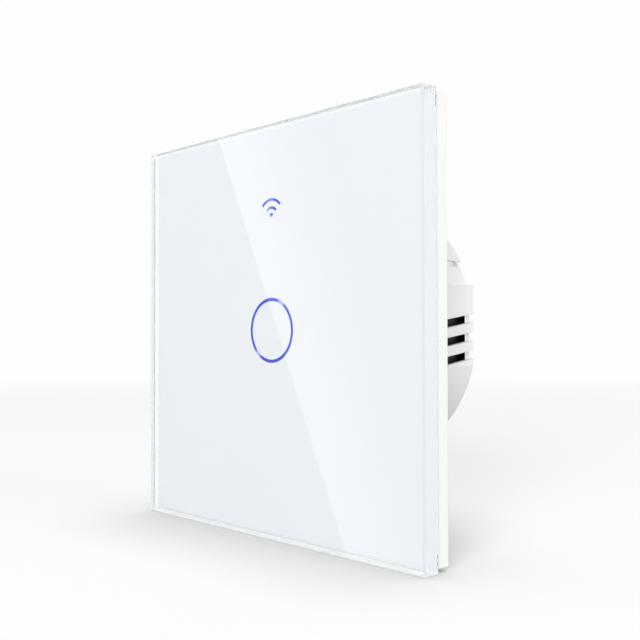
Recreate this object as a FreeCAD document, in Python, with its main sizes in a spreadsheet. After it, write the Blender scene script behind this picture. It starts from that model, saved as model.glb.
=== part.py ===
import FreeCAD, Part
import math
import os
import re
import Sketcher
from FreeCAD import Placement, Rotation, Vector

# Driving sizes in millimetres and degrees. "depth" counts rearward from the wall plane.
sizes = {
    # glass front
    "glass_side": 86.0,
    "glass_thickness": 4.0,
    "glass_bevel": 0.35,
    # printed film behind the glass, with its windows
    "film_thickness": 0.15,
    "film_margin": 1.0,
    "ring_diameter": 12.9,
    "ring_stroke": 0.68,
    "sign_inset": 3.7,
    "sign_outer_radius": 3.75,
    "sign_inner_radius": 2.05,
    "sign_stroke": 0.58,
    "sign_dot_radius": 0.95,
    "sign_spread": 96.0,
    # tape ring between glass and frame
    "tape_thickness": 0.25,
    "tape_width": 5.5,
    "tape_margin": 0.6,
    # front frame
    "frame_inset": 0.8,
    "frame_depth": 3.1,
    "skirt_wall": 1.6,
    "web_thickness": 1.2,
    "web_opening_width": 70.0,
    "web_opening_height": 62.0,
    "web_corner": 4.0,
    "pry_notch_width": 8.0,
    "pry_notch_height": 0.9,
    "catch_offset": 24.0,
    "catch_length": 8.0,
    "catch_reach": 0.45,
    "catch_height": 0.6,
    "catch_clearance": 0.2,
    "catch_recess": 0.5,
    # base plate
    "plate_gap": 0.6,
    "plate_thickness": 1.5,
    "plate_corner": 2.5,
    "seat_depth": 0.8,
    "seat_clearance": 0.15,
    "box_screw_pitch": 60.0,
    "slot_width": 3.4,
    "slot_length": 4.0,
    "boss_radius": 2.4,
    "boss_end_depth": 8.0,
    "boss_floor": 1.2,
    "post_inset": 5.5,
    "post_radius": 2.4,
    "post_floor": 0.5,
    "opening_clearance": 0.5,
    # rear housing
    "housing_radius": 28.5,
    "housing_depth": 27.3,
    "housing_wall": 1.2,
    "floor_thickness": 1.55,
    "rear_bevel": 0.4,
    "pad_inset": 1.0,
    "pad_height": 18.8,
    "band_height": 5.2,
    "band_step": 1.9,
    "band_width": 8.0,
    "band_floor": 0.8,
    "band_margin": 0.4,
    "groove_height": 1.2,
    "groove_depth": 0.85,
    "groove_web": 0.6,
    "vent_height": 1.75,
    "vent_pitch": 3.83,
    "vent_count": 3,
    "vent_slant": 8.5,
    "vent_first_up": 2.6,
    "vent_inset": 0.15,
    "vent_front_depth": 9.0,
    "column_radius": 2.9,
    "column_inset": 3.9,
    "column_clearance": 0.15,
    "well_radius": 1.95,
    "screw_seat_depth": 12.0,
    "ledge_across": 8.0,
    "ledge_width": 2.0,
    "ledge_reach": 1.8,
    # housing screws and board screws
    "screw_head_radius": 1.75,
    "screw_head_height": 1.4,
    "screw_shank_radius": 1.05,
    "screw_end_gap": 1.0,
    "board_screw_head_radius": 1.7,
    "board_screw_head_height": 1.1,
    "board_screw_radius": 0.95,
    "board_screw_end_gap": 0.2,
    "screw_clearance": 0.05,
    # circuit boards
    "board_clearance": 1.3,
    "notch_clearance": 0.35,
    "touch_board_depth": 1.0,
    "touch_board_thickness": 1.2,
    "power_board_depth": 6.0,
    "power_board_thickness": 1.6,
    # light box with its two diffusers
    "light_gap": 0.35,
    "light_box_side": 19.2,
    "light_arm_width": 8.6,
    "light_arm_height": 2.4,
    "light_wall": 1.0,
    "light_floor": 0.4,
    "sleeve_wall": 1.1,
    "sleeve_bore_radius": 3.9,
    "ring_channel": 2.9,
    "ring_fit": 0.2,
    "spoke_width": 1.2,
    "spoke_height": 1.2,
    "spoke_turn": 22.5,
    "sign_channel_width": 6.6,
    "sign_channel_drop": 0.7,
    "sign_channel_rise": 4.8,
    "sign_throat": 2.5,
    # touch spring
    "spring_radius": 2.9,
    "spring_wire": 0.5,
    "spring_turns": 3.0,
    "spring_sides": 8,
    # light emitting chips
    "led_length": 1.6,
    "led_width": 0.8,
    "led_height": 0.6,
    "led_count": 8,
    # board connector
    "connector_down": 16.0,
    "connector_length": 12.6,
    "connector_width": 2.4,
    "header_height": 1.4,
    "socket_height": 2.2,
    "pin_side": 0.5,
    "pin_pitch": 2.0,
    "pin_count": 6,
    "pin_clearance": 0.1,
    "pin_tail": 0.8,
    "pin_gap": 0.6,
    # radio module
    "radio_width": 16.0,
    "radio_height": 24.0,
    "radio_thickness": 0.8,
    "radio_up": 3.5,
    "shield_width": 14.6,
    "shield_height": 15.6,
    "shield_depth": 2.0,
    "shield_wall": 0.2,
    # chips: package and leads
    "touch_chip_width": 5.0,
    "touch_chip_height": 4.0,
    "touch_chip_depth": 1.5,
    "touch_chip_across": -14.0,
    "touch_chip_up": -6.0,
    "rectifier_width": 4.8,
    "rectifier_height": 4.0,
    "rectifier_depth": 2.4,
    "rectifier_across": 0.0,
    "rectifier_up": 15.5,
    "lead_width": 0.5,
    "lead_reach": 1.0,
    "lead_thickness": 0.25,
    # power parts
    "transformer_width": 14.0,
    "transformer_height": 5.2,
    "transformer_depth": 11.6,
    "transformer_across": 0.6,
    "transformer_up": 3.5,
    "transformer_leg": 2.4,
    "winding_height": 12.0,
    "winding_clearance": 0.15,
    "input_can_radius": 4.0,
    "input_can_depth": 12.5,
    "input_can_gap": 1.2,
    "input_can_up": -9.2,
    "output_can_radius": 3.1,
    "output_can_depth": 10.0,
    "output_can_gap": 4.7,
    "output_can_up": -10.4,
    "can_groove": 0.35,
    "can_foot": 1.1,
    "film_capacitor_width": 13.0,
    "film_capacitor_height": 5.4,
    "film_capacitor_depth": 9.5,
    "film_capacitor_inset": 5.4,
    "film_capacitor_round": 0.6,
    "varistor_radius": 4.0,
    "varistor_thickness": 3.4,
    "varistor_lift": 0.6,
    "varistor_across": -8.0,
    "varistor_up": 16.5,
    "varistor_lead": 0.6,
    "varistor_pitch": 4.0,
    "fuse_radius": 1.7,
    "fuse_length": 7.6,
    "fuse_across": 9.0,
    "fuse_up": 16.5,
    # terminal block and its clamps
    "pole_pitch": 7.5,
    "pole_count": 3,
    "terminal_inset": 5.0,
    "block_clearance": 0.52,
    "block_width": 10.6,
    "block_height": 24.0,
    "block_rear_gap": 1.4,
    "screw_recess": 0.3,
    "access_radius": 1.9,
    "wire_hole_radius": 1.8,
    "terminal_head_radius": 2.2,
    "terminal_head_height": 1.6,
    "terminal_screw_radius": 1.25,
    "terminal_slot_width": 0.7,
    "terminal_slot_depth": 0.8,
    "cage_length": 5.6,
    "cage_width": 5.0,
    "cage_side": 0.8,
    "cage_nut": 1.2,
    "cage_window": 4.8,
    "cage_floor": 1.0,
    "cage_travel": 2.0,
    "cage_clearance": 0.25,
    "strap_thickness": 0.8,
    "strap_width": 3.0,
    # relay
    "relay_clearance": 0.9,
    "relay_up": -0.5,
    "relay_width": 10.2,
    "relay_height": 18.4,
    "relay_rear_gap": 0.35,
    "relay_wall": 0.7,
    "relay_base_thickness": 1.4,
    "coil_up": 1.0,
    "coil_radius": 3.7,
    "flange_radius": 4.1,
    "flange_thickness": 0.7,
    "core_radius": 1.9,
    "pole_face_radius": 2.8,
    "pole_face_thickness": 0.6,
    "blade_room": 2.25,
    "yoke_width": 7.0,
    "yoke_thickness": 1.0,
    "yoke_top_up": 7.6,
    "armature_thickness": 0.9,
    "armature_gap": 0.5,
    "armature_length": 12.0,
    "blade_thickness": 0.25,
    "blade_width": 3.6,
    "blade_length": 15.4,
    "blade_inset": 2.0,
    "contact_radius": 1.1,
    "contact_thickness": 0.5,
    "contact_gap": 0.7,
    "contact_strip": 0.4,
    # how far a cutter passes the face that it cuts
    "overcut": 1.0,
}

# Places and sizes that follow from the ones above
worked_out = {
    "half_glass": "glass_side / 2",
    "frame_half": "half_glass - frame_inset",
    "skirt_inner": "frame_half - skirt_wall",
    "plate_half": "skirt_inner - plate_gap",
    "film_back": "frame_depth + tape_thickness",
    "glass_back": "film_back + film_thickness",
    "housing_length": "housing_depth + seat_depth",
    "housing_bore": "housing_radius - housing_wall",
    "pad_across": "housing_radius - pad_inset",
    "pad_inner": "pad_across - housing_wall",
    "column_circle": "housing_radius - column_inset",
    "board_radius": "housing_bore - board_clearance",
    "post_across": "board_radius - post_inset",
    "floor_front": "housing_depth - floor_thickness",
    "ledge_root": "sqrt(pow(housing_bore; 2) - pow(ledge_across; 2)) + housing_wall / 2",
    "screw_length": "screw_seat_depth + seat_depth - boss_floor - screw_end_gap",
    "post_hole_depth": "plate_thickness + touch_board_depth - post_floor",
    "touch_board_rear": "touch_board_depth + touch_board_thickness",
    "power_board_rear": "power_board_depth + power_board_thickness",
    "sign_height": "housing_bore - sign_inset",
    "sign_channel_low": "sign_height - sign_channel_drop",
    "sign_channel_high": "sign_height + sign_channel_rise",
    "light_height": "film_back - light_gap + touch_board_depth",
    "ring_radius": "ring_diameter / 2",
    "sleeve_radius": "sleeve_bore_radius + sleeve_wall",
    "channel_radius": "sleeve_radius + ring_channel",
    "half_arm": "light_arm_width / 2",
    "plate_lift": "light_gap / 2",
    "sign_shelf": "plate_thickness + touch_board_depth + plate_lift + light_floor",
    "arm_top": "sign_channel_low + sign_throat + light_wall",
    "block_outer_across": "sqrt(pow(housing_bore; 2) - pow(block_height / 2; 2)) - block_clearance",
    "terminal_across": "block_outer_across - terminal_inset",
    "block_inner_across": "block_outer_across - block_width",
    "block_rear": "floor_front - block_rear_gap",
    "head_rear": "block_rear - screw_recess",
    "head_front": "head_rear - terminal_head_height",
    "cage_rear": "head_front - cage_travel - cage_clearance / 2",
    "window_rear": "cage_rear - cage_nut",
    "window_front": "window_rear - cage_window",
    "cage_front": "window_front - cage_floor",
    "strap_rear": "window_rear - cage_clearance",
    "strap_front": "strap_rear - strap_thickness",
    "strap_reach": "cage_length / 2 + cage_clearance + 2 * strap_thickness",
    "wire_depth": "(strap_front + window_front) / 2",
    "film_capacitor_up": "-(board_radius - film_capacitor_inset)",
    "input_can_across": "-(block_inner_across - input_can_gap - input_can_radius)",
    "output_can_across": "relay_across - relay_width / 2 - output_can_gap - output_can_radius",
    "relay_outer_across": "sqrt(pow(housing_bore; 2) - pow(relay_height / 2 - relay_up; 2)) - relay_clearance",
    "relay_across": "relay_outer_across - relay_width / 2",
    "relay_depth": "floor_front - relay_rear_gap - power_board_rear",
    "relay_floor": "relay_base_thickness",
    "blade_front": "relay_depth - relay_wall - blade_room - blade_thickness",
    "coil_length": "blade_front - armature_thickness - armature_gap - pole_face_thickness - coil_floor",
    "coil_floor": "relay_floor + yoke_thickness",
    "pole_top": "coil_floor + coil_length + pole_face_thickness",
    "armature_low": "pole_top + armature_gap",
}

UPRIGHT = Rotation(Vector(1, 0, 0), 90)
SIDES = (-1, 1)
CORNERS = tuple((a, b) for a in SIDES for b in SIDES)

doc = FreeCAD.newDocument("glass_touch_switch")
sheet = doc.addObject("Spreadsheet::Sheet", "Sizes")
for row, (word, amount) in enumerate(sizes.items(), 1):
    sheet.set("A%d" % row, word)
    sheet.set("B%d" % row, str(amount))
    sheet.setAlias("B%d" % row, word)
doc.recompute()
pieces = []


def formula(text):
    """Turn the words of a formula into references to the sheet."""
    def swap(match):
        word = match.group(0)
        if word in worked_out:
            return "(" + formula(worked_out[word]) + ")"
        return "Sizes." + word if word in sizes else word
    return re.sub(r"[a-z][a-z_]*", swap, str(text))


def number(text):
    return float(sheet.evalExpression(formula(text)))


def bind(item, **links):
    for prop, text in links.items():
        item.setExpression(prop.replace("__", "."), formula(text))


def place(item, label, across="0", up="0", out="0"):
    # a piece is drawn in the plane of the wall, x to the right, y up and z out of the wall
    if item.isDerivedFrom("Part::Primitive"):
        item = group(item.Name + "Piece", [item])
    item.Label = label
    item.Placement = Placement(Vector(), UPRIGHT)
    bind(item, Placement__Base__x=across, Placement__Base__y="-(%s)" % out, Placement__Base__z=up)
    pieces.append(item)
    return item


# Solids from primitives

def box(name, low, size):
    item = doc.addObject("Part::Box", name)
    bind(item, Length=size[0], Width=size[1], Height=size[2])
    bind(item, Placement__Base__x=low[0], Placement__Base__y=low[1], Placement__Base__z=low[2])
    return item


def slab(name, width, height, low, thickness, across="0", up="0"):
    # box centred across and up, standing on the level "low"
    corner = ("%s - (%s) / 2" % (across, width), "%s - (%s) / 2" % (up, height), low)
    return box(name, corner, (width, height, thickness))


def disc(name, radius, low, thickness, across="0", up="0"):
    item = doc.addObject("Part::Cylinder", name)
    bind(item, Radius=radius, Height=thickness)
    bind(item, Placement__Base__x=across, Placement__Base__y=up, Placement__Base__z=low)
    return item


def join(name, *items):
    item = doc.addObject("Part::MultiFuse", name)
    item.Shapes = list(items)
    return item


def cut(name, base, *tools):
    item = doc.addObject("Part::Cut", name)
    item.Base = base
    item.Tool = tools[0] if len(tools) == 1 else join(name + "Tools", *tools)
    return item


def group(name, items):
    item = doc.addObject("Part::Compound", name)
    item.Links = list(items)
    return item


# Solids from sketches

def new_body(name):
    return doc.addObject("PartDesign::Body", name)


def new_sketch(body, name, height, role="XY_Plane"):
    sketch = body.newObject("Sketcher::SketchObject", name)
    plane = next(part for part in body.Origin.OriginFeatures if part.Role == role)
    sketch.AttachmentSupport = [(plane, "")]
    sketch.MapMode = "FlatFace"
    bind(sketch, AttachmentOffset__Base__z=height)
    return sketch


def hold(sketch, *rule):
    # the last entry is a formula that drives the new constraint
    row = sketch.addConstraint(Sketcher.Constraint(*rule[:-1], number(rule[-1])))
    sketch.setExpression("Constraints[%d]" % row, formula(rule[-1]))


def outline(body, name, loops, height="0", role="XY_Plane"):
    # straight-sided closed loops; every corner is held by two formulas
    sketch = new_sketch(body, name, height, role)
    for corners in loops:
        first = sketch.GeometryCount
        spots = [Vector(number(a), number(b), 0) for a, b in corners]
        for index, spot in enumerate(spots):
            sketch.addGeometry(Part.LineSegment(spot, spots[(index + 1) % len(spots)]), False)
        for index, (a, b) in enumerate(corners):
            line = first + index
            after = first + (index + 1) % len(spots)
            sketch.addConstraint(Sketcher.Constraint("Coincident", line, 2, after, 1))
            hold(sketch, "DistanceX", -1, 1, line, 1, a)
            hold(sketch, "DistanceY", -1, 1, line, 1, b)
    return sketch


def rings(body, name, spots, radius, height="0", role="XY_Plane"):
    sketch = new_sketch(body, name, height, role)
    for index, (a, b) in enumerate(spots):
        circle = Part.Circle(Vector(number(a), number(b), 0), Vector(0, 0, 1), number(radius))
        sketch.addGeometry(circle, False)
        hold(sketch, "DistanceX", -1, 1, index, 3, a)
        hold(sketch, "DistanceY", -1, 1, index, 3, b)
        hold(sketch, "Radius", index, radius)
    return sketch


def flat_sided_circle(body, name, radius, reach, height="0"):
    # circle cut off by an upright line on each side
    sketch = new_sketch(body, name, height)
    big = number(radius)
    turn = math.acos(number(reach) / big)
    whole = Part.Circle(Vector(), Vector(0, 0, 1), big)
    spans = ((turn, math.pi - turn), (math.pi + turn, 2 * math.pi - turn))
    for start, end in spans:
        sketch.addGeometry(Part.ArcOfCircle(whole, start, end), False)
    ends = [Vector(big * math.cos(a), big * math.sin(a), 0) for span in spans for a in span]
    sketch.addGeometry(Part.LineSegment(ends[1], ends[2]), False)
    sketch.addGeometry(Part.LineSegment(ends[3], ends[0]), False)
    for arc in (0, 1):
        sketch.addConstraint(Sketcher.Constraint("Coincident", arc, 3, -1, 1))
        hold(sketch, "Radius", arc, radius)
    for one, two in (((0, 2), (2, 1)), ((2, 2), (1, 1)), ((1, 2), (3, 1)), ((3, 2), (0, 1))):
        sketch.addConstraint(Sketcher.Constraint("Coincident", *one, *two))
    for line, side in ((2, "-"), (3, "")):
        sketch.addConstraint(Sketcher.Constraint("Vertical", line))
        hold(sketch, "DistanceX", -1, 1, line, 1, "%s(%s)" % (side, reach))
    return sketch


def volume(body):
    doc.recompute()
    return body.Shape.Volume


def pad(body, sketch, length, reverse=False):
    feature = body.newObject("PartDesign::Pad", sketch.Name + "Pad")
    feature.Profile = sketch
    feature.Reversed = reverse
    bind(feature, Length=length)
    return feature


def pocket(body, sketch, length=None, reverse=False):
    # a pocket with no length goes right through; one that removes nothing is an error
    before = volume(body)
    feature = body.newObject("PartDesign::Pocket", sketch.Name + "Pocket")
    feature.Profile = sketch
    feature.Reversed = reverse
    if length is None:
        feature.Type = "ThroughAll"
    else:
        bind(feature, Length=length)
    if volume(body) >= before:
        raise ValueError(feature.Name + " removed nothing")
    return feature


def dress(body, kind, name, size, picked):
    # fillet or chamfer the edges of the present shape that "picked" accepts
    doc.recompute()
    tip = body.Tip
    names = ["Edge%d" % n for n, edge in enumerate(tip.Shape.Edges, 1) if picked(edge)]
    feature = body.newObject("PartDesign::" + kind, name)
    feature.Base = (tip, names)
    bind(feature, **{"Radius" if kind == "Fillet" else "Size": size})
    return feature


def turned(name, corners):
    # round piece from a profile of radius and height
    body = new_body(name)
    sketch = outline(body, name + "Profile", [corners], role="XZ_Plane")
    feature = body.newObject("PartDesign::Revolution", name + "Turned")
    feature.Profile = sketch
    feature.ReferenceAxis = (sketch, ["V_Axis"])
    feature.Angle = 360
    return body


def rectangle(low_x, low_y, high_x, high_y):
    return [(low_x, low_y), (high_x, low_y), (high_x, high_y), (low_x, high_y)]


def centred(width, height, across="0", up="0"):
    half_x = "(%s) / 2" % width
    half_y = "(%s) / 2" % height
    return rectangle("%s - %s" % (across, half_x), "%s - %s" % (up, half_y),
                     "%s + %s" % (across, half_x), "%s + %s" % (up, half_y))


def is_upright(edge):
    return edge.Length > 0 and abs(abs(edge.tangentAt(edge.FirstParameter).z) - 1) < 1e-6


# Front panel: glass, printed film with its windows, tape and frame

def glass_panel():
    body = new_body("Glass")
    pad(body, outline(body, "GlassSquare", [centred("glass_side", "glass_side")]), "glass_thickness")
    dress(body, "Chamfer", "GlassBevel", "glass_bevel", lambda edge: True)
    place(body, "glass_panel", out="glass_back")


def ring_shape(name):
    outer = disc(name + "Outer", "ring_radius + ring_stroke / 2", "0", "film_thickness")
    return cut(name, outer, disc(name + "Inner", "ring_radius - ring_stroke / 2", "0", "film_thickness"))


def pie(name, radius):
    # sector that opens upward about the centre of the signal arcs
    item = disc(name, radius, "0", "film_thickness", up="sign_height")
    bind(item, Angle="sign_spread", Placement__Rotation__Angle="90 - sign_spread / 2")
    return item


def sign_shapes(name):
    shapes = [pie(name + "Dot", "sign_dot_radius")]
    for word in ("inner", "outer"):
        middle = "sign_%s_radius" % word
        arc = pie(name + word.title() + "Pie", middle + " + sign_stroke / 2")
        core = disc(name + word.title() + "Core", middle + " - sign_stroke / 2", "0",
                    "film_thickness", up="sign_height")
        shapes.append(cut(name + word.title() + "Arc", arc, core))
    return shapes


def printed_film():
    side = "glass_side - 2 * film_margin"
    sheet_of_film = slab("FilmSheet", side, side, "0", "film_thickness")
    film = cut("Film", sheet_of_film, ring_shape("RingHole"), *sign_shapes("SignHole"))
    place(film, "backing_film", out="film_back")
    place(ring_shape("RingWindow"), "ring_window", out="film_back")
    place(group("SignWindow", sign_shapes("SignWindowPart")), "signal_window", out="film_back")


def adhesive_tape():
    side = "2 * (frame_half - tape_margin)"
    outer = slab("TapeOuter", side, side, "0", "tape_thickness")
    inner = slab("TapeInner", side + " - 2 * tape_width", side + " - 2 * tape_width", "0", "tape_thickness")
    place(cut("Tape", outer, inner), "adhesive_tape", out="frame_depth")


def edge_boxes(low, high, length):
    # eight rectangles along the four sides, from "low" to "high" out from the centre
    loops = []
    for side in SIDES:
        for end in SIDES:
            near = "%d * (%s)" % (side, low)
            far = "%d * (%s)" % (side, high)
            start = "%d * catch_offset - (%s) / 2" % (end, length)
            stop = "%d * catch_offset + (%s) / 2" % (end, length)
            loops.append(rectangle(near, start, far, stop))
            loops.append(rectangle(start, near, stop, far))
    return loops


def front_frame():
    body = new_body("Frame")
    side = "2 * frame_half"
    pad(body, outline(body, "FrameSquare", [centred(side, side)]), "frame_depth")
    hollow = outline(body, "FrameHollow", [centred("2 * skirt_inner", "2 * skirt_inner")])
    pocket(body, hollow, "frame_depth - web_thickness", reverse=True)
    window = [centred("web_opening_width", "web_opening_height")]
    pocket(body, outline(body, "FrameWindow", window, "frame_depth"))
    inside = number("(web_opening_width / 2 + skirt_inner) / 2")
    dress(body, "Fillet", "FrameCorner", "web_corner",
          lambda edge: is_upright(edge) and abs(edge.CenterOfMass.x) < inside)
    low = "-(frame_half + skirt_wall)"
    notch = rectangle("-pry_notch_width / 2", low, "pry_notch_width / 2", "-skirt_inner")
    pocket(body, outline(body, "PryNotch", [notch]), "pry_notch_height", reverse=True)
    catches = edge_boxes("skirt_inner - catch_reach", "skirt_inner + skirt_wall / 2", "catch_length")
    sketch = outline(body, "FrameCatches", catches)
    pad(body, sketch, "catch_height")
    place(body, "front_frame")


# Wall unit: plate and housing

def boss_spots(circle="column_circle"):
    return [("%d * %s * cos(45)" % (a, circle), "%d * %s * sin(45)" % (b, circle)) for a, b in CORNERS]


def slot_loops():
    loops = []
    for side in SIDES:
        middle = "%d * box_screw_pitch / 2" % side
        loops.append(centred("slot_length - slot_width", "slot_width", across=middle))
    return loops


def base_plate():
    body = new_body("Plate")
    pad(body, outline(body, "PlateSquare", [centred("2 * plate_half", "2 * plate_half")]), "plate_thickness")
    dress(body, "Fillet", "PlateCorner", "plate_corner", is_upright)
    seat = flat_sided_circle(body, "PlateSeat", "housing_radius + seat_clearance",
                             "pad_across + seat_clearance")
    pocket(body, seat, "seat_depth", reverse=True)
    pads = centred("2 * (pad_across + seat_clearance)", "pad_height + 2 * seat_clearance")
    pocket(body, outline(body, "PadSeat", [pads]), "seat_depth", reverse=True)
    gap = "opening_clearance"
    half = "light_box_side / 2 + " + gap
    neck = "half_arm + " + gap
    opening = [("-(%s)" % half, "-(%s)" % half), (half, "-(%s)" % half), (half, half), (neck, half),
               (neck, "arm_top + " + gap), ("-(%s)" % neck, "arm_top + " + gap), ("-(%s)" % neck, half),
               ("-(%s)" % half, half)]
    pocket(body, outline(body, "PlateOpening", [opening], "plate_thickness"))
    pocket(body, outline(body, "PlateSlots", slot_loops(), "plate_thickness"))
    for side in SIDES:
        for end in SIDES:
            across = "%d * box_screw_pitch / 2 + %d * (slot_length - slot_width) / 2" % (side, end)
            name = "SlotEnd%s%s" % ("LR"[side > 0], "LR"[end > 0])
            pocket(body, rings(body, name, [(across, "0")], "slot_width / 2", "plate_thickness"))
    recesses = edge_boxes("plate_half - catch_recess", "skirt_inner", "catch_length + 2 * catch_clearance")
    pocket(body, outline(body, "PlateRecesses", recesses), "catch_height + catch_clearance", reverse=True)
    bosses = rings(body, "PlateBosses", boss_spots(), "boss_radius", "seat_depth")
    pad(body, bosses, "seat_depth + boss_end_depth", reverse=True)
    bores = rings(body, "BossBores", boss_spots(), "screw_shank_radius + screw_clearance", "-boss_end_depth")
    pocket(body, bores, "boss_end_depth + seat_depth - boss_floor", reverse=True)
    post_spots = [("%d * post_across" % side, "0") for side in SIDES]
    pad(body, rings(body, "PlatePosts", post_spots, "post_radius", "seat_depth"),
        "seat_depth + touch_board_depth", reverse=True)
    holes = rings(body, "PostHoles", post_spots, "board_screw_radius + screw_clearance", "-touch_board_depth")
    pocket(body, holes, "post_hole_depth", reverse=True)
    place(body, "base_plate")


def rear_housing():
    # drawn with its rim at zero and its floor to the rear; each side pad stands proud along its
    # top edge and runs into the round below
    body = new_body("Housing")
    pad(body, rings(body, "HousingRound", [("0", "0")], "housing_radius"), "housing_length", reverse=True)
    half_pad = "pad_height / 2"
    slabs = []
    for side in SIDES:
        near = "%d * (housing_radius - 3 * housing_wall)" % side
        slabs.append(rectangle(near, "0", "%d * pad_across" % side, half_pad))
    pad(body, outline(body, "SidePads", slabs), "housing_length", reverse=True)
    beyond = []
    for side in SIDES:
        far = "%d * (housing_radius + housing_wall)" % side
        beyond.append(rectangle("%d * pad_across" % side, "-" + half_pad, far, half_pad))
    pocket(body, outline(body, "PadFlats", beyond))
    rear = -number("housing_length")
    dress(body, "Chamfer", "RearBevel", "rear_bevel",
          lambda edge: all(abs(corner.Z - rear) < 1e-6 for corner in edge.Vertexes))
    hollow = flat_sided_circle(body, "HousingHollow", "housing_bore", "pad_inner")
    pocket(body, hollow, "housing_length - floor_thickness")
    columns = rings(body, "Columns", boss_spots(), "column_radius", "-housing_length")
    pad(body, columns, "housing_depth - boss_end_depth - column_clearance")
    ledges = []
    for a, b in CORNERS:
        left = "%d * ledge_across - ledge_width / 2" % a
        right = "%d * ledge_across + ledge_width / 2" % a
        ledges.append(rectangle(left, "%d * (ledge_root - ledge_reach)" % b, right, "%d * ledge_root" % b))
    pad(body, outline(body, "BoardLedges", ledges, "-housing_length"), "housing_depth - power_board_rear")
    wells = rings(body, "ScrewWells", boss_spots(), "well_radius", "-housing_length")
    pocket(body, wells, "housing_depth - screw_seat_depth", reverse=True)
    holes = rings(body, "ScrewHoles", boss_spots(), "screw_shank_radius + 2 * screw_clearance",
                  "-housing_length")
    pocket(body, holes, "housing_depth - boss_end_depth", reverse=True)
    # a band beside each pad is stepped forward at the rear, over a local floor of its own
    shelves = []
    steps = []
    grooves = []
    for side in SIDES:
        shelf_low = half_pad + " - band_margin"
        shelf_high = half_pad + " + band_height + band_margin"
        near = "%d * (housing_radius - band_width - band_margin)" % side
        in_wall = "%d * sqrt(pow((housing_radius + housing_bore) / 2; 2) - pow(%s; 2))"
        shelves.append([(near, shelf_low), (in_wall % (side, shelf_low), shelf_low),
                        (in_wall % (side, shelf_high), shelf_high), (near, shelf_high)])
        outer = "%d * (housing_radius + housing_wall)" % side
        step = "%d * (housing_radius - band_width)" % side
        steps.append(rectangle(step, half_pad, outer, half_pad + " + band_height"))
        middle = "sqrt(pow(housing_radius; 2) - pow(pad_height / 2 + band_height; 2))"
        deep = "%d * (%s - groove_depth / 2)" % (side, middle)
        grooves.append(rectangle(deep, half_pad + " + band_height - groove_height", outer,
                                 half_pad + " + band_height"))
    pad(body, outline(body, "BandFloors", shelves, "-housing_length"), "band_step + band_floor")
    pocket(body, outline(body, "BandSteps", steps, "-housing_length"), "band_step", reverse=True)
    groove_end = "housing_length - band_step - groove_web"
    pocket(body, outline(body, "BandGrooves", grooves, "-(%s)" % groove_end),
           groove_end + " - 2 * seat_depth", reverse=True)
    vents(body)
    entries = [("pole_pitch * %d" % pole, "-(wire_depth + seat_depth)") for pole in (-1, 0, 1)]
    sketch = rings(body, "WireEntries", entries, "wire_hole_radius", "-(pad_across + overcut)",
                   role="YZ_Plane")
    pocket(body, sketch, "housing_wall + 2 * overcut", reverse=True)
    access = [("-terminal_across", "pole_pitch * %d" % pole) for pole in (-1, 0, 1)]
    sketch = rings(body, "ScrewAccess", access, "access_radius", "-housing_length")
    pocket(body, sketch, "band_step + band_floor + overcut", reverse=True)
    place(body, "rear_housing", out="seat_depth")


def vents(body):
    # slanted slots through the right side wall, open at the rear edge
    half = "vent_height / cos(vent_slant) / 2"
    front = "-(vent_front_depth + seat_depth)"
    back = "-(housing_length + overcut)"
    drop = "(housing_depth - vent_front_depth) * tan(vent_slant)"
    rise = "overcut * tan(vent_slant)"
    corners = [("vent_first_up - %s - %s" % (drop, half), front),
               ("vent_first_up + %s - %s" % (rise, half), back),
               ("vent_first_up + %s + %s" % (rise, half), back),
               ("vent_first_up - %s + %s" % (drop, half), front)]
    sketch = outline(body, "VentSlot", [corners], "housing_radius + overcut", role="YZ_Plane")
    slot = pocket(body, sketch, "housing_radius - pad_inner + overcut + vent_inset")
    before = volume(body)
    pattern = body.newObject("PartDesign::LinearPattern", "VentRow")
    pattern.Originals = [slot]
    pattern.Direction = (next(part for part in body.Origin.OriginFeatures if part.Role == "Y_Axis"), [""])
    pattern.Reversed = True
    bind(pattern, Length="vent_pitch * (vent_count - 1)", Occurrences="vent_count")
    body.Tip = pattern
    if volume(body) >= before:
        raise ValueError("the vent row removed nothing")


# Screws

def pan_head_screw(name, head, thickness, shank, length, across, up):
    # head to the rear of the seat level, shank to the front of it
    return join(name, disc(name + "Head", head, "-(%s)" % thickness, thickness, across, up),
                disc(name + "Shank", shank, "0", length, across, up))


def housing_screws():
    screws = [pan_head_screw("CaseScrew%d" % index, "screw_head_radius", "screw_head_height",
                             "screw_shank_radius", "screw_length", *spot)
              for index, spot in enumerate(boss_spots(), 1)]
    place(group("CaseScrews", screws), "housing_screws", out="-screw_seat_depth")


def touch_board_screws():
    screws = [pan_head_screw("BoardScrew" + "LR"[side > 0], "board_screw_head_radius",
                             "board_screw_head_height", "board_screw_radius",
                             "touch_board_thickness + post_hole_depth - board_screw_end_gap",
                             "%d * post_across" % side, "0") for side in SIDES]
    place(group("BoardScrews", screws), "touch_board_screws", out="-touch_board_rear")


# Boards and what stands between them

def round_board(name, thickness, *holes):
    notches = [disc("%sNotch%d" % (name, index), "column_radius + notch_clearance", "-(%s)" % thickness,
                    thickness, *spot) for index, spot in enumerate(boss_spots(), 1)]
    blank = disc(name + "Blank", "board_radius", "-(%s)" % thickness, thickness)
    return cut(name, blank, *notches, *holes)


def pin_row(name, side, low, length):
    return [slab("%s%d" % (name, pin), side, side, low, length,
                 "pin_pitch * (%d - (pin_count - 1) / 2)" % pin, "-connector_down")
            for pin in range(int(number("pin_count")))]


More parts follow.
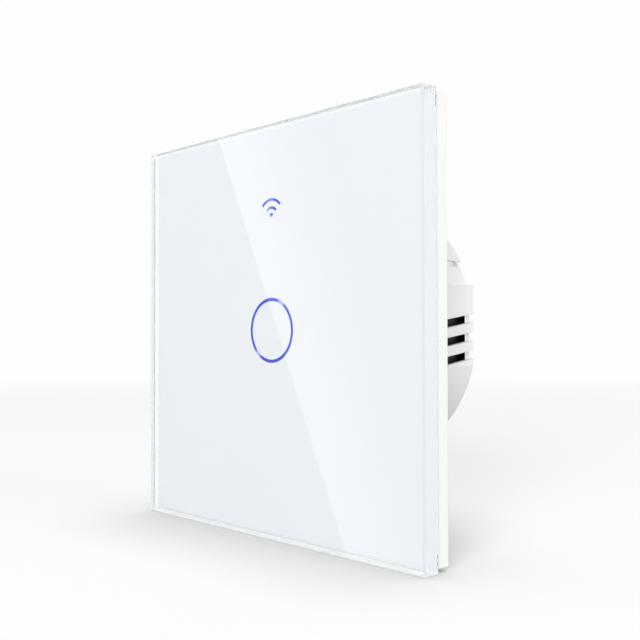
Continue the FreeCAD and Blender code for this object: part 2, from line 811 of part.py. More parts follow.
def boards():
    thickness = "touch_board_thickness"
    holes = [disc("PostHole" + "LR"[side > 0], "board_screw_radius + screw_clearance",
                  "-" + thickness, thickness, "%d * post_across" % side) for side in SIDES]
    place(round_board("TouchBoard", thickness, *holes), "touch_board", out="-touch_board_depth")
    thickness = "power_board_thickness"
    holes = pin_row("PinHole", "pin_side + 2 * pin_clearance", "-" + thickness, thickness)
    place(round_board("PowerBoard", thickness, *holes), "power_board", out="-power_board_depth")


def connector():
    size = ("connector_length", "connector_width")
    hole = "pin_side + 2 * pin_clearance"
    strip = slab("HeaderStrip", *size, "0", "header_height", up="-connector_down")
    header = cut("Header", strip, *pin_row("HeaderHole", hole, "0", "header_height"))
    place(header, "board_header", out="-power_board_depth")
    block = slab("SocketBlock", *size, "-socket_height", "socket_height", up="-connector_down")
    holes = pin_row("SocketHole", hole, "-socket_height", "socket_height - pin_gap / 2")
    socket = cut("Socket", block, *holes)
    place(socket, "board_socket", out="-touch_board_rear")
    length = "power_board_rear + pin_tail - touch_board_rear - pin_gap"
    place(group("Pins", pin_row("Pin", "pin_side", "0", length)), "header_pins",
          out="-(power_board_rear + pin_tail)")


def light_box():
    full = "light_height"
    body = slab("LightBlock", "light_box_side", "light_box_side", "0", full)
    arm_low = "light_box_side / 2 - light_wall"
    arm_size = ("light_arm_width", "arm_top - (%s)" % arm_low, "light_arm_height")
    arm = box("LightArm", ("-half_arm", arm_low, "0"), arm_size)
    head_low = "sign_channel_low - light_wall"
    head_size = ("light_arm_width", "arm_top - (%s)" % head_low, full)
    head = box("LightHead", ("-half_arm", head_low, "0"), head_size)
    lip_low = "plate_thickness + touch_board_depth + plate_lift"
    lip_size = ("light_arm_width", "sign_channel_high + light_wall - (%s)" % head_low,
                "%s - (%s)" % (full, lip_low))
    lip = box("LightLip", ("-half_arm", head_low, lip_low), lip_size)
    well = disc("RingWell", "channel_radius", "0", full)
    shell = cut("LightShell", join("LightSolid", body, arm, head, lip), well)
    sleeve = disc("Sleeve", "sleeve_radius", "0", full)
    spokes = []
    length = "2 * channel_radius + light_wall"
    for name, quarter in (("SpokeA", 0), ("SpokeB", 90)):
        spoke = slab(name, length, "spoke_width", "0", "spoke_height")
        turn_about_z(spoke, "spoke_turn + %d" % quarter, length, "spoke_width")
        spokes.append(spoke)
    carrier = join("LightCarrier", shell, sleeve, *spokes)
    bore = disc("SleeveBore", "sleeve_bore_radius", "0", full)
    upper = box("SignChannel", ("-sign_channel_width / 2", "sign_channel_low", "sign_shelf"),
                ("sign_channel_width", "sign_channel_high - sign_channel_low", full))
    lower = box("SignThroat", ("-sign_channel_width / 2", "sign_channel_low", "0"),
                ("sign_channel_width", "sign_throat", full))
    place(cut("LightBox", carrier, bore, upper, lower), "light_box", out="-touch_board_depth")


def turn_about_z(item, angle, length, width):
    # turn a slab that is centred on the axis, keeping its centre there
    values = {"long": "(%s) / 2" % length, "wide": "(%s) / 2" % width, "angle": angle}
    bind(item, Placement__Rotation__Angle=angle,
         Placement__Base__x="-%(long)s * cos(%(angle)s) + %(wide)s * sin(%(angle)s)" % values,
         Placement__Base__y="-%(long)s * sin(%(angle)s) - %(wide)s * cos(%(angle)s)" % values)


def diffusers():
    height = "light_height - spoke_height"
    ring = cut("RingDiffuser", disc("DiffuserOuter", "channel_radius - ring_fit", "0", height),
               disc("DiffuserInner", "sleeve_radius + ring_fit", "0", height))
    place(ring, "ring_diffuser", out="spoke_height - touch_board_depth")
    width = "sign_channel_width - 2 * ring_fit"
    tall = "sign_channel_high - sign_channel_low - 2 * ring_fit"
    block = slab("SignDiffuser", width, tall, "0", "light_height - sign_shelf",
                 up="(sign_channel_high + sign_channel_low) / 2")
    place(block, "signal_diffuser", out="sign_shelf - touch_board_depth")


def leds():
    chips = []
    count = int(number("led_count"))
    for index in range(count):
        angle = 360.0 / count * index
        chip = doc.addObject("Part::Box", "Led%d" % index)
        bind(chip, Length="led_width", Width="led_length", Height="led_height")
        chip.Placement.Rotation = Rotation(Vector(0, 0, 1), angle)
        reach = "(ring_radius - led_width / 2)"
        bind(chip, Placement__Base__x="%s * cos(%s) + led_length / 2 * sin(%s)" % (reach, angle, angle),
             Placement__Base__y="%s * sin(%s) - led_length / 2 * cos(%s)" % (reach, angle, angle))
        chips.append(chip)
    place(group("RingLeds", chips), "ring_leds", out="-touch_board_depth")
    chip = slab("SignLed", "led_length", "led_width", "0", "led_height",
                up="sign_channel_low + sign_throat / 2")
    place(chip, "signal_led", out="-touch_board_depth")


def two_arcs(start, start_way, end, end_way):
    # two arcs that leave and arrive along the given unit directions and meet smoothly
    span = end - start
    ways = start_way + end_way
    square = 4 - ways.dot(ways)
    slope = 2 * span.dot(ways)
    reach = (math.sqrt(slope * slope + 4 * square * span.dot(span)) - slope) / (2 * square)
    corners = (start + start_way * reach, end - end_way * reach)
    meeting = (corners[0] + corners[1]) / 2
    arcs = []
    for near, corner, far in ((start, corners[0], meeting), (meeting, corners[1], end)):
        middle = (near + far) / 2
        half = (far - near).Length / 2
        lean = math.atan2((corner - middle).Length, half)
        bulge = half * math.tan(lean / 2)
        arcs.append(Part.Arc(near, middle + (corner - middle).normalize() * bulge, far).toShape())
    return arcs


def wire_section(arc, radius, sides):
    # even-sided face square to the start of an arc, with one flat facing its centre
    start = arc.valueAt(arc.FirstParameter)
    way = arc.tangentAt(arc.FirstParameter)
    inward = (arc.Curve.Center - start).normalize()
    aside = way.cross(inward)
    corner = radius / math.cos(math.pi / sides)
    spots = []
    for index in range(sides):
        angle = 2 * math.pi * (index + 0.5) / sides
        spots.append(start + inward * corner * math.cos(angle) + aside * corner * math.sin(angle))
    return Part.Face(Part.makePolygon(spots + spots[:1]))


def touch_spring():
    # wire wound in half turns, from the board up to the film
    wire = number("spring_wire")
    radius = number("spring_radius")
    turns = number("spring_turns")
    rise = number("film_back + touch_board_depth - spring_wire")
    halves = int(round(turns * 2))

    def at(step):
        angle = step * math.pi
        spot = Vector(radius * math.cos(angle), radius * math.sin(angle), wire / 2 + rise * step / halves)
        way = Vector(-math.sin(angle), math.cos(angle), rise / halves / (radius * math.pi)).normalize()
        return spot, way

    arcs = [arc for step in range(halves) for arc in two_arcs(*at(step), *at(step + 1))]
    lengths = []
    for arc in arcs:
        section = wire_section(arc, wire / 2, int(number("spring_sides")))
        swing = math.degrees(arc.LastParameter - arc.FirstParameter)
        lengths.append(section.revolve(arc.Curve.Center, arc.Curve.Axis, swing))
    spring = doc.addObject("Part::Feature", "TouchSpring")
    spring.Shape = lengths[0].multiFuse(lengths[1:])
    print("touch spring: gap between turns %.2f mm" % (rise / turns - wire))
    place(spring, "touch_spring", out="-touch_board_depth")


def radio_module():
    board = slab("RadioBoard", "radio_width", "radio_height", "-radio_thickness", "radio_thickness",
                 up="radio_up")
    place(board, "radio_board", out="-touch_board_rear")
    low = "radio_up - radio_height / 2 + shield_height / 2 + 3 * shield_wall"
    outer = slab("ShieldOuter", "shield_width", "shield_height", "-shield_depth", "shield_depth", up=low)
    inner = slab("ShieldInner", "shield_width - 2 * shield_wall", "shield_height - 2 * shield_wall",
                 "shield_wall - shield_depth", "shield_depth", up=low)
    place(cut("Shield", outer, inner), "radio_shield", out="-(touch_board_rear + radio_thickness)")


def chip_with_leads(name, label, leads, seat):
    width = name + "_width"
    height = name + "_height"
    depth = name + "_depth"
    title = name.title().replace("_", "")
    items = [slab(title + "Package", width, height, "-" + depth, depth + " - lead_thickness")]
    for index in range(leads):
        across = "%s * (%d + 0.5) / %d - %s / 2" % (width, index, leads, width)
        items.append(slab("%sLead%d" % (title, index), "lead_width", height + " + 2 * lead_reach",
                          "-lead_thickness * 2", "lead_thickness * 2", across))
    place(join(title, *items), label, name + "_across", name + "_up", "-" + seat)


# Power parts on the rear of the power board

def capacitor_can(name, label):
    radius = name + "_radius"
    depth = name + "_depth"
    neck = "%s - can_groove" % radius
    corners = [("0", "0"), (radius, "0"), (radius, "-can_foot"), (neck, "-can_foot - can_groove"),
               (radius, "-can_foot - 2 * can_groove"), (radius, "-" + depth), ("0", "-" + depth)]
    place(turned(name.title().replace("_", ""), corners), label, name + "_across", name + "_up",
          "-power_board_rear")


def film_capacitor():
    body = new_body("FilmCapacitor")
    pad(body, outline(body, "CapacitorFoot", [centred("film_capacitor_width", "film_capacitor_height")]),
        "film_capacitor_depth", reverse=True)
    dress(body, "Fillet", "CapacitorRound", "film_capacitor_round", is_upright)
    place(body, "film_capacitor", up="film_capacitor_up", out="-power_board_rear")


def varistor():
    # disc on edge with two leads
    body = doc.addObject("Part::Cylinder", "VaristorDisc")
    body.Placement.Rotation = Rotation(Vector(0, 1, 0), 90)
    bind(body, Radius="varistor_radius", Height="varistor_thickness",
         Placement__Base__x="-varistor_thickness / 2",
         Placement__Base__z="-(varistor_lift + varistor_radius)")
    leads = [slab("VaristorLead" + "LR"[side > 0], "varistor_lead", "varistor_lead",
                  "-(varistor_lift + varistor_radius)", "varistor_lift + varistor_radius",
                  "%d * varistor_thickness / 4" % side, "%d * varistor_pitch / 2" % side) for side in SIDES]
    place(join("Varistor", body, *leads), "varistor", "varistor_across", "varistor_up", "-power_board_rear")


def fuse_resistor():
    rod = disc("FuseResistor", "fuse_radius", "-fuse_length", "fuse_length")
    place(rod, "fuse_resistor", "fuse_across", "fuse_up", "-power_board_rear")


def transformer():
    # E-shaped core halves closed round one wound middle leg
    width = "transformer_width"
    leg = "transformer_leg"
    depth = "transformer_depth"
    window = "(%s - 4 * %s) / 2" % (width, leg)
    block = slab("CoreBlock", width, "transformer_height", "-" + depth, depth)
    holes = [slab("CoreWindow" + "LR"[side > 0], window, "transformer_height", "%s - %s" % (leg, depth),
                  "%s - 2 * %s" % (depth, leg), "%d * (%s + %s / 2)" % (side, leg, window)) for side in SIDES]
    place(cut("Core", block, *holes), "transformer_core", "transformer_across", "transformer_up",
          "-power_board_rear")
    gap = "winding_clearance"
    low = "%s + %s - %s" % (leg, gap, depth)
    tall = "%s - 2 * %s - 2 * %s" % (depth, leg, gap)
    outer = slab("CoilOuter", "2 * (%s + %s - %s)" % (leg, window, gap), "winding_height", low, tall)
    inner = slab("CoilInner", "2 * (%s + %s)" % (leg, gap), "transformer_height + 2 * " + gap, low, tall)
    place(cut("Winding", outer, inner), "transformer_winding", "transformer_across", "transformer_up",
          "-power_board_rear")


# Terminals. The clamp cages rise on their screws and press the wires against the straps.

def poles():
    return [(index + 1, "pole_pitch * %d" % (index - 1)) for index in range(int(number("pole_count")))]


def terminal_block():
    # drawn about the screw row, with z from the wall plane
    inner = "terminal_across - block_outer_across"
    size = ("block_width", "block_height", "block_rear - power_board_rear")
    block = box("Block", (inner, "-block_height / 2", "-block_rear"), size)
    tools = []
    gap = "cage_clearance"
    for pole, up in poles():
        tag = "Pole%d" % pole
        tools.append(slab(tag + "Cavity", "cage_length + 2 * " + gap, "cage_width + 2 * " + gap,
                          "-head_front", "head_front - cage_front + " + gap, up=up))
        tools.append(disc(tag + "Head", "terminal_head_radius + " + gap, "-block_rear",
                          "block_rear - head_front + " + gap, up=up))
        reach = "block_outer_across - terminal_across"
        entry = disc(tag + "Entry", "wire_hole_radius", "-wire_depth", reach, up=up)
        entry.Placement.Rotation = Rotation(Vector(0, 1, 0), -90)
        tools.append(entry)
        low = ("cage_length / 2", "%s - strap_width / 2 - %s" % (up, gap), "-(strap_rear + %s)" % gap)
        size = ("strap_reach - cage_length / 2 + " + gap, "strap_width + 2 * " + gap,
                "strap_rear - power_board_rear + " + gap)
        tools.append(box(tag + "Strap", low, size))
    place(cut("TerminalBlock", block, *tools), "terminal_block", across="-terminal_across")


def terminal_straps():
    straps = []
    for pole, up in poles():
        low = "%s - strap_width / 2" % up
        start = "-(cage_length / 2 - cage_side)"
        blade = box("Blade%d" % pole, (start, low, "-strap_rear"),
                    ("strap_reach + cage_length / 2 - cage_side", "strap_width", "strap_thickness"))
        leg = box("Leg%d" % pole, ("strap_reach - strap_thickness", low, "-strap_rear"),
                  ("strap_thickness", "strap_width", "strap_rear - power_board_rear"))
        straps.append(join("Strap%d" % pole, blade, leg))
    place(group("Straps", straps), "terminal_contacts", across="-terminal_across")


def clamp(pole, up):
    # screw with its head to the rear and its tip at the strap; cage with the thread in its rear wall
    head = "terminal_head_radius"
    tall = "terminal_head_height"
    tip = "head_front - strap_rear - cage_clearance / 4"
    corners = [("0", "-" + tall), (head, "-" + tall), (head, "0"), ("terminal_screw_radius", "0"),
               ("terminal_screw_radius", tip), ("0", tip)]
    screw = turned("ClampScrew%d" % pole, corners)
    across = centred("2 * (%s + overcut)" % head, "terminal_slot_width")
    slot = outline(screw, "DriveSlot%d" % pole, [across], "-" + tall)
    pocket(screw, slot, "terminal_slot_depth", reverse=True)
    place(screw, "terminal_screw_%d" % pole, "-terminal_across", up, "-head_front")
    block = slab("CageBlock%d" % pole, "cage_length", "cage_width", "-cage_rear", "cage_rear - cage_front")
    window = slab("CageWindow%d" % pole, "cage_length", "cage_width - 2 * cage_side", "-window_rear",
                  "cage_window")
    thread = disc("CageThread%d" % pole, "terminal_screw_radius + screw_clearance", "-cage_rear", "cage_nut")
    place(cut("Cage%d" % pole, block, window, thread), "clamp_cage_%d" % pole, "-terminal_across", up)


# Relay, drawn with its base on the board and its height to the rear

def relay_piece(item, label):
    place(item, label, "relay_across", "relay_up", "-power_board_rear")


def rear_slab(name, width, low_up, high_up, low, high):
    # slab between two heights across and two levels counted rearward
    return box(name, ("-(%s) / 2" % width, low_up, "-(%s)" % high),
               (width, "%s - (%s)" % (high_up, low_up), "%s - (%s)" % (high, low)))


def relay_case():
    floor = "relay_base_thickness"
    outer = slab("CaseOuter", "relay_width", "relay_height", "-relay_depth", "relay_depth - " + floor)
    inner = slab("CaseInner", "relay_width - 2 * relay_wall", "relay_height - 2 * relay_wall",
                 "relay_wall - relay_depth", "relay_depth - " + floor)
    relay_piece(cut("RelayCase", outer, inner), "relay_cover")
    relay_piece(slab("RelayBase", "relay_width", "relay_height", "-" + floor, floor), "relay_base")


def relay_coil():
    # bobbin with its winding between two flanges
    start = "-coil_floor"
    far = "-(coil_floor + coil_length)"
    bore = "core_radius + 2 * screw_clearance"
    edge = "flange_radius"
    corners = [(bore, start), (edge, start), (edge, start + " - flange_thickness"),
               ("coil_radius", start + " - flange_thickness"), ("coil_radius", far + " + flange_thickness"),
               (edge, far + " + flange_thickness"), (edge, far), (bore, far)]
    coil = turned("RelayCoil", corners)
    place(coil, "relay_coil", "relay_across", "relay_up + coil_up", "-power_board_rear")


def relay_yoke():
    top = "yoke_top_up"
    foot = rear_slab("YokeFoot", "yoke_width", "coil_up - flange_radius", top, "relay_floor", "coil_floor")
    leg = rear_slab("YokeLeg", "yoke_width", top + " - yoke_thickness", top, "relay_floor", "armature_low")
    core = disc("YokeCore", "core_radius", "-pole_top", "pole_top - relay_floor", up="coil_up")
    face = disc("PoleFace", "pole_face_radius", "-pole_top", "pole_face_thickness", up="coil_up")
    relay_piece(join("RelayYoke", foot, leg, core, face), "relay_yoke")


def relay_contacts():
    # the armature lies on the end of the yoke and tilts about the yoke's inner edge
    back = "armature_low + armature_thickness"
    plate = rear_slab("ArmaturePlate", "yoke_width", "yoke_top_up - armature_length", "yoke_top_up",
                      "armature_low", back)
    relay_piece(plate, "relay_armature")
    end = "yoke_top_up - blade_length"
    strip = rear_slab("BladeStrip", "blade_width", end, "yoke_top_up - blade_inset", back,
                      back + " + blade_thickness")
    rivet_up = "%s + contact_radius + contact_strip" % end
    rivet = disc("BladeRivet", "contact_radius", "-(%s)" % back, "contact_thickness", up=rivet_up)
    relay_piece(join("ContactBlade", strip, rivet), "contact_blade")
    top = "%s - contact_thickness - contact_gap" % back
    fixed = disc("FixedRivet", "contact_radius", "-(%s)" % top, "contact_thickness", up=rivet_up)
    shelf = "%s - contact_thickness" % top
    low = "%s - contact_strip" % end
    high = "%s + contact_radius + 2 * contact_strip" % rivet_up
    table = rear_slab("FixedTable", "blade_width", low, high, shelf + " - contact_strip", shelf)
    post = rear_slab("FixedPost", "blade_width", low, low + " + contact_strip", "relay_floor", shelf)
    relay_piece(join("FixedContact", fixed, table, post), "relay_fixed_contact")


glass_panel()
printed_film()
adhesive_tape()
front_frame()
base_plate()
rear_housing()
housing_screws()
touch_board_screws()
boards()
connector()
light_box()
diffusers()
leds()
touch_spring()
radio_module()
chip_with_leads("touch_chip", "touch_chip", 4, "touch_board_rear")
chip_with_leads("rectifier", "rectifier", 2, "power_board_rear")
capacitor_can("input_can", "input_capacitor")
capacitor_can("output_can", "output_capacitor")
film_capacitor()
varistor()
fuse_resistor()
transformer()
terminal_block()
terminal_straps()
for pole, up in poles():
    clamp(pole, up)
relay_case()
relay_coil()
relay_yoke()
relay_contacts()
doc.recompute()

failed = [item.Name for item in doc.Objects if "Invalid" in item.State or "Error" in item.State]
if failed:
    raise ValueError("failed: " + ", ".join(failed))
for piece in pieces:
    if piece.Shape.isNull() or not piece.Shape.isValid():
        raise ValueError("bad shape: " + piece.Label)

os.makedirs("parts", exist_ok=True)
for piece in pieces:
    piece.Shape.exportStep("parts/%s.step" % piece.Label)
print("%d pieces" % len(pieces))
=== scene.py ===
import math
import bmesh
import bpy
from mathutils import Matrix, Vector


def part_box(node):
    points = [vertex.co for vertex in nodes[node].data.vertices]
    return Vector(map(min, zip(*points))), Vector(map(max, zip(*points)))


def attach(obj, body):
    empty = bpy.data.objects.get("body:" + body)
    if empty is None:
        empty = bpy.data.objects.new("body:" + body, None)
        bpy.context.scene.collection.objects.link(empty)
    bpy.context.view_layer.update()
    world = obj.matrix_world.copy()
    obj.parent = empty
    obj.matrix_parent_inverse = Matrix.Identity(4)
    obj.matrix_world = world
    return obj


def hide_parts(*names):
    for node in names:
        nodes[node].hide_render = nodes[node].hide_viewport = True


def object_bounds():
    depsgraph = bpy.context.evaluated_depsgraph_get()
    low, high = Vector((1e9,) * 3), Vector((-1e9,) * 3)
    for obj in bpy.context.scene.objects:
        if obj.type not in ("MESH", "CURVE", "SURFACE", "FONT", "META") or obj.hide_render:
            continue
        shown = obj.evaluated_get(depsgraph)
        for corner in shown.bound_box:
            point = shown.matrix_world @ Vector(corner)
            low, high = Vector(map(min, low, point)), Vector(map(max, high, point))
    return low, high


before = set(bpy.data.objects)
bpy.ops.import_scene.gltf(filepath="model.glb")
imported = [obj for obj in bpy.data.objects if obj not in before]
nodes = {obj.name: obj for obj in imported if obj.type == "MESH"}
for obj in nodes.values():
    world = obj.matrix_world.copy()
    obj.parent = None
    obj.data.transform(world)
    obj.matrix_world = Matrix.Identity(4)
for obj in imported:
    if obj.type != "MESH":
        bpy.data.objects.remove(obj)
cadBox = [list(corner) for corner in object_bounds()]
mm = 0.001
imageSide = 640
print("frame loaded:", len(nodes), "nodes")


# Shader maths. A Wire is one socket, and plain arithmetic on it adds Math nodes.

class Wire:
    def __init__(self, tree, socket=None):
        self.tree = tree
        self.socket = socket

    def node(self, kind, settings=None, inputs=None, output=0):
        made = self.tree.nodes.new(kind)
        for word, value in (settings or {}).items():
            if word == "stops":
                fillRamp(made.color_ramp, value)
            else:
                setattr(made, word, value)
        for word, value in (inputs or {}).items():
            if isinstance(value, Wire):
                self.tree.links.new(value.socket, made.inputs[word])
            else:
                made.inputs[word].default_value = value
        return Wire(self.tree, made.outputs[output] if made.outputs else None)

    def maths(self, operation, first, second=0.0):
        return self.node("ShaderNodeMath", {"operation": operation}, {0: first, 1: second})

    def __add__(self, other):
        return self.maths("ADD", self, other)

    def __sub__(self, other):
        return self.maths("SUBTRACT", self, other)

    def __rsub__(self, other):
        return self.maths("SUBTRACT", other, self)

    def __mul__(self, other):
        return self.maths("MULTIPLY", self, other)

    def __truediv__(self, other):
        return self.maths("DIVIDE", self, other)

    def __rtruediv__(self, other):
        return self.maths("DIVIDE", other, self)

    def __pow__(self, other):
        return self.maths("POWER", self, other)

    def __rpow__(self, other):
        return self.maths("POWER", other, self)

    __radd__ = __add__
    __rmul__ = __mul__


def fillRamp(ramp, stops):
    # stops are (position, colour) pairs, and a new ramp already has two of them
    while len(ramp.elements) < len(stops):
        ramp.elements.new(0.5)
    for element, (position, colour) in zip(ramp.elements, stops):
        element.position = position
        element.color = colour


def rgb(red, green, blue):
    # colour as a picture program shows it, turned into linear light
    linear = []
    for part in (red, green, blue):
        share = part / 255
        linear.append(share / 12.92 if share <= 0.04045 else ((share + 0.055) / 1.055) ** 2.4)
    return (*linear, 1.0)


def grey(tone):
    return tone, tone, tone, 1


def newFinish(name):
    material = bpy.data.materials.new(name)
    material.use_nodes = True
    material.node_tree.nodes.clear()
    return material, Wire(material.node_tree)


def showSurface(t, shader):
    t.node("ShaderNodeOutputMaterial", None, {"Surface": shader})


def principled(t, sockets):
    return t.node("ShaderNodeBsdfPrincipled", None, sockets)


def emission(t, colour, strength):
    return t.node("ShaderNodeEmission", None, {"Color": colour, "Strength": strength})


def mixShaders(t, factor, first, second):
    return t.node("ShaderNodeMixShader", None, {0: factor, 1: first, 2: second})


def coords(t):
    return t.node("ShaderNodeTexCoord", output="Object")


def rayIs(t, word):
    return t.node("ShaderNodeLightPath", output=word)


def noise(t, where, size, detail=2.0, rough=0.5):
    return t.node("ShaderNodeTexNoise", None,
                  {"Vector": where, "Scale": 1 / size, "Detail": detail, "Roughness": rough})


def stretched(t, where, stretch):
    return t.node("ShaderNodeMapping", None, {"Vector": where, "Scale": stretch})


def blendColours(t, factor, first, second):
    # a Mix node's colours are its sockets 6 and 7, and the blended colour is its output 2
    return t.node("ShaderNodeMix", {"data_type": "RGBA"}, {0: factor, 6: first, 7: second}, output=2)


def between(t, value, low, high, start=0.0, stop=1.0):
    return t.node("ShaderNodeMapRange", {"interpolation_type": "SMOOTHSTEP"},
                  {"Value": value, "From Min": low, "From Max": high, "To Min": start, "To Max": stop})


def axisParts(t, where, axes="XYZ"):
    return [t.node("ShaderNodeSeparateXYZ", None, {0: where}, output=axis) for axis in axes]


def reachOf(first, second):
    return (first * first + second * second) ** 0.5


def bump(t, height, depth, strength=1.0, normal=None):
    links = {"Height": height, "Distance": depth, "Strength": strength}
    if normal:
        links["Normal"] = normal
    return t.node("ShaderNodeBump", None, links)


wearSet = {"samples": 4, "gain": 1.5}


def edgeNormal(t, radius):
    return t.node("ShaderNodeBevel", {"samples": wearSet["samples"]}, {"Radius": radius})


def edgeWear(t, rounded):
    # one at sharp outer and inner edges, nought on open faces
    flat = t.node("ShaderNodeNewGeometry", output="Normal")
    facing = t.node("ShaderNodeVectorMath", {"operation": "DOT_PRODUCT"}, {0: rounded, 1: flat}, "Value")
    return t.maths("MINIMUM", (1 - facing) * wearSet["gain"], 1.0)


# Mesh helpers

def addObject(name, mesh, *materials):
    data = bpy.data.meshes.new(name)
    mesh.to_mesh(data)
    mesh.free()
    for material in materials:
        data.materials.append(material)
    made = bpy.data.objects.new(name, data)
    bpy.context.scene.collection.objects.link(made)
    return made


def newPiece(name, mesh, materials, body, stands=()):
    # stands names the solids that the piece takes the place of
    piece = addObject(name, mesh, *materials)
    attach(piece, body)
    if stands:
        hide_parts(*stands)


def addBlock(mesh, low, high):
    for vert in bmesh.ops.create_cube(mesh, size=1.0)["verts"]:
        vert.co = Vector([(low[i] + high[i]) / 2 + vert.co[i] * (high[i] - low[i]) for i in range(3)])


def bridge(mesh, first, second):
    for i in range(len(first)):
        ahead = (i + 1) % len(first)
        mesh.faces.new((first[i], first[ahead], second[ahead], second[i]))


def paint(material, *names):
    for name in names:
        slots = nodes[name].data.materials
        for index in range(len(slots)):
            slots[index] = material


# Camera: place and clip distances in mm, turns in degrees, focal length for the square 640 pixel picture

cameraSet = {
    "place": (144.06, -127.00, -1.58),
    "focalPixels": 902.41,
    "yaw": 46.769,
    "pitch": 1.131,
    "roll": -0.104,
    "sensor": 36.0,
    "near": 5,
    "far": 100000,
}


def cameraAxes():
    yaw = math.radians(cameraSet["yaw"])
    pitch = math.radians(cameraSet["pitch"])
    roll = math.radians(cameraSet["roll"])
    ahead = Vector((-math.sin(yaw) * math.cos(pitch), math.cos(yaw) * math.cos(pitch), math.sin(pitch)))
    level = Vector((math.cos(yaw), math.sin(yaw), 0))
    upright = level.cross(ahead)
    right = level * math.cos(roll) + upright * math.sin(roll)
    up = upright * math.cos(roll) - level * math.sin(roll)
    return right, up, ahead


def makeCamera():
    right, up, ahead = cameraAxes()
    data = bpy.data.cameras.new("productCamera")
    data.sensor_width = cameraSet["sensor"]
    data.lens = cameraSet["focalPixels"] * cameraSet["sensor"] / imageSide
    data.clip_start = cameraSet["near"] * mm
    data.clip_end = cameraSet["far"] * mm
    camera = bpy.data.objects.new("productCamera", data)
    bpy.context.scene.collection.objects.link(camera)
    turn = Matrix((right, up, -ahead)).transposed().to_4x4()
    camera.matrix_world = Matrix.Translation(Vector(cameraSet["place"]) * mm) @ turn
    bpy.context.scene.camera = camera


makeCamera()
print("camera set")


# Stage: floor, world, lamps and one soft reflector, in metres unless a note says otherwise

stageSet = {
    "floorRadius": 8.0,
    "floorSides": 96,
    "floorTone": 0.49,
    "floorLift": 0.485,
    "fibre": 0.6,  # mm
    "fibreDepth": 0.02,  # mm
    "fibreStrength": 0.4,
    "contactReach": 0.03,
    "contactSamples": 12,
    "fadeNear": 0.30,
    "fadeFar": 0.85,
    "glowThroughGlass": 0.75,
    "backdrop": 0.991,
    "surround": 0.92,
    "overhead": 0.48,
    "surroundRise": 0.1,  # sine of the angle where the surround starts to darken
    "overheadRise": 0.8,
}
lamps = {
    "keyLamp": {"place": (0.90, -1.60, 0.70), "size": 0.8, "power": 26.5},
    "fillLamp": {"place": (1.80, 0.60, 0.50), "size": 1.2, "power": 10.4},
    "topLamp": {"place": (-0.20, 0.90, 1.70), "size": 1.2, "power": 4.0},
    "leftLamp": {"place": (-1.50, -0.30, 0.35), "size": 1.2, "power": 1.5},
}
# the band that the glass mirrors, by the pixels of its sharp left edge
bandSet = {
    "edgeTop": (218, 142),
    "edgeBottom": (340, 540),
    "fadeWidth": 118,  # pixels
    "sharpEdge": 0.03,  # of the width
    "fadeStart": 0.12,  # of the width
    "overrun": 0.6,  # of the edge, past both its ends
    "reach": 5.0,  # from the mirrored eye to the reflector, in distances from the eye to the glass
    "glow": 1.1,
}


def seenDirectly(t):
    # one for rays that show the backdrop itself, straight on, in a mirror or through glass
    straight, mirrored, through = [rayIs(t, word) for word in
                                   ("Is Camera Ray", "Is Glossy Ray", "Is Transmission Ray")]
    return t.maths("MAXIMUM", t.maths("MAXIMUM", straight, mirrored), through)


def makeWorld():
    world = bpy.data.worlds.new("studioWorld")
    world.use_nodes = True
    world.node_tree.nodes.clear()
    t = Wire(world.node_tree)
    shown = t.node("ShaderNodeBackground", None, {"Color": grey(stageSet["backdrop"]), "Strength": 1.0})
    # the room's own light is brightest near eye level
    height = axisParts(t, t.node("ShaderNodeTexCoord", output="Generated"), "Z")[0]
    climb = between(t, t.maths("ABSOLUTE", height), stageSet["surroundRise"], stageSet["overheadRise"])
    level = blendColours(t, climb, grey(stageSet["surround"]), grey(stageSet["overhead"]))
    lit = t.node("ShaderNodeBackground", None, {"Color": level, "Strength": 1.0})
    t.node("ShaderNodeOutputWorld", None, {"Surface": mixShaders(t, seenDirectly(t), lit, shown)})
    bpy.context.scene.world = world


def floorFinish():
    material, t = newFinish("floorPaper")
    where = coords(t)
    seen = seenDirectly(t)
    fibre = noise(t, where, stageSet["fibre"] * mm, 3.0)
    surface = bump(t, fibre, stageSet["fibreDepth"] * mm, stageSet["fibreStrength"])
    paper = t.node("ShaderNodeBsdfDiffuse", None, {"Color": grey(stageSet["floorTone"]), "Normal": surface})
    # seen directly, the paper is lifted towards white by a glow, and a contact shadow from ambient occlusion
    # is painted into that glow
    paintedContactShadow = t.node("ShaderNodeAmbientOcclusion", {"samples": stageSet["contactSamples"]},
                      {"Distance": stageSet["contactReach"]}, "AO")
    lift = emission(t, blendColours(t, paintedContactShadow, grey(0), grey(1)), stageSet["floorLift"])
    dark = t.node("ShaderNodeBsdfTransparent", None, {"Color": grey(0)})
    near = t.node("ShaderNodeAddShader", None, {0: paper, 1: mixShaders(t, seen, dark, lift)})
    # paper seen through the glass is painted pale: mostly the plain backdrop glow, in place of its own
    # shading
    paintedGlowThroughGlass = rayIs(t, "Is Transmission Ray") * stageSet["glowThroughGlass"]
    away = t.node("ShaderNodeVectorMath", {"operation": "LENGTH"}, {0: where}, "Value")
    far = t.maths("MAXIMUM", between(t, away, stageSet["fadeNear"], stageSet["fadeFar"]) * seen, paintedGlowThroughGlass)
    showSurface(t, mixShaders(t, far, near, emission(t, grey(stageSet["backdrop"]), 1.0)))
    return material


def makeFloor():
    mesh = bmesh.new()
    bmesh.ops.create_circle(mesh, cap_ends=True, radius=stageSet["floorRadius"],
                            segments=stageSet["floorSides"])
    floor = addObject("floor", mesh, floorFinish())
    floor.location.z = cadBox[0][2]
    floor.visible_glossy = False  # the glass mirrors the plain backdrop, not the floor's edge


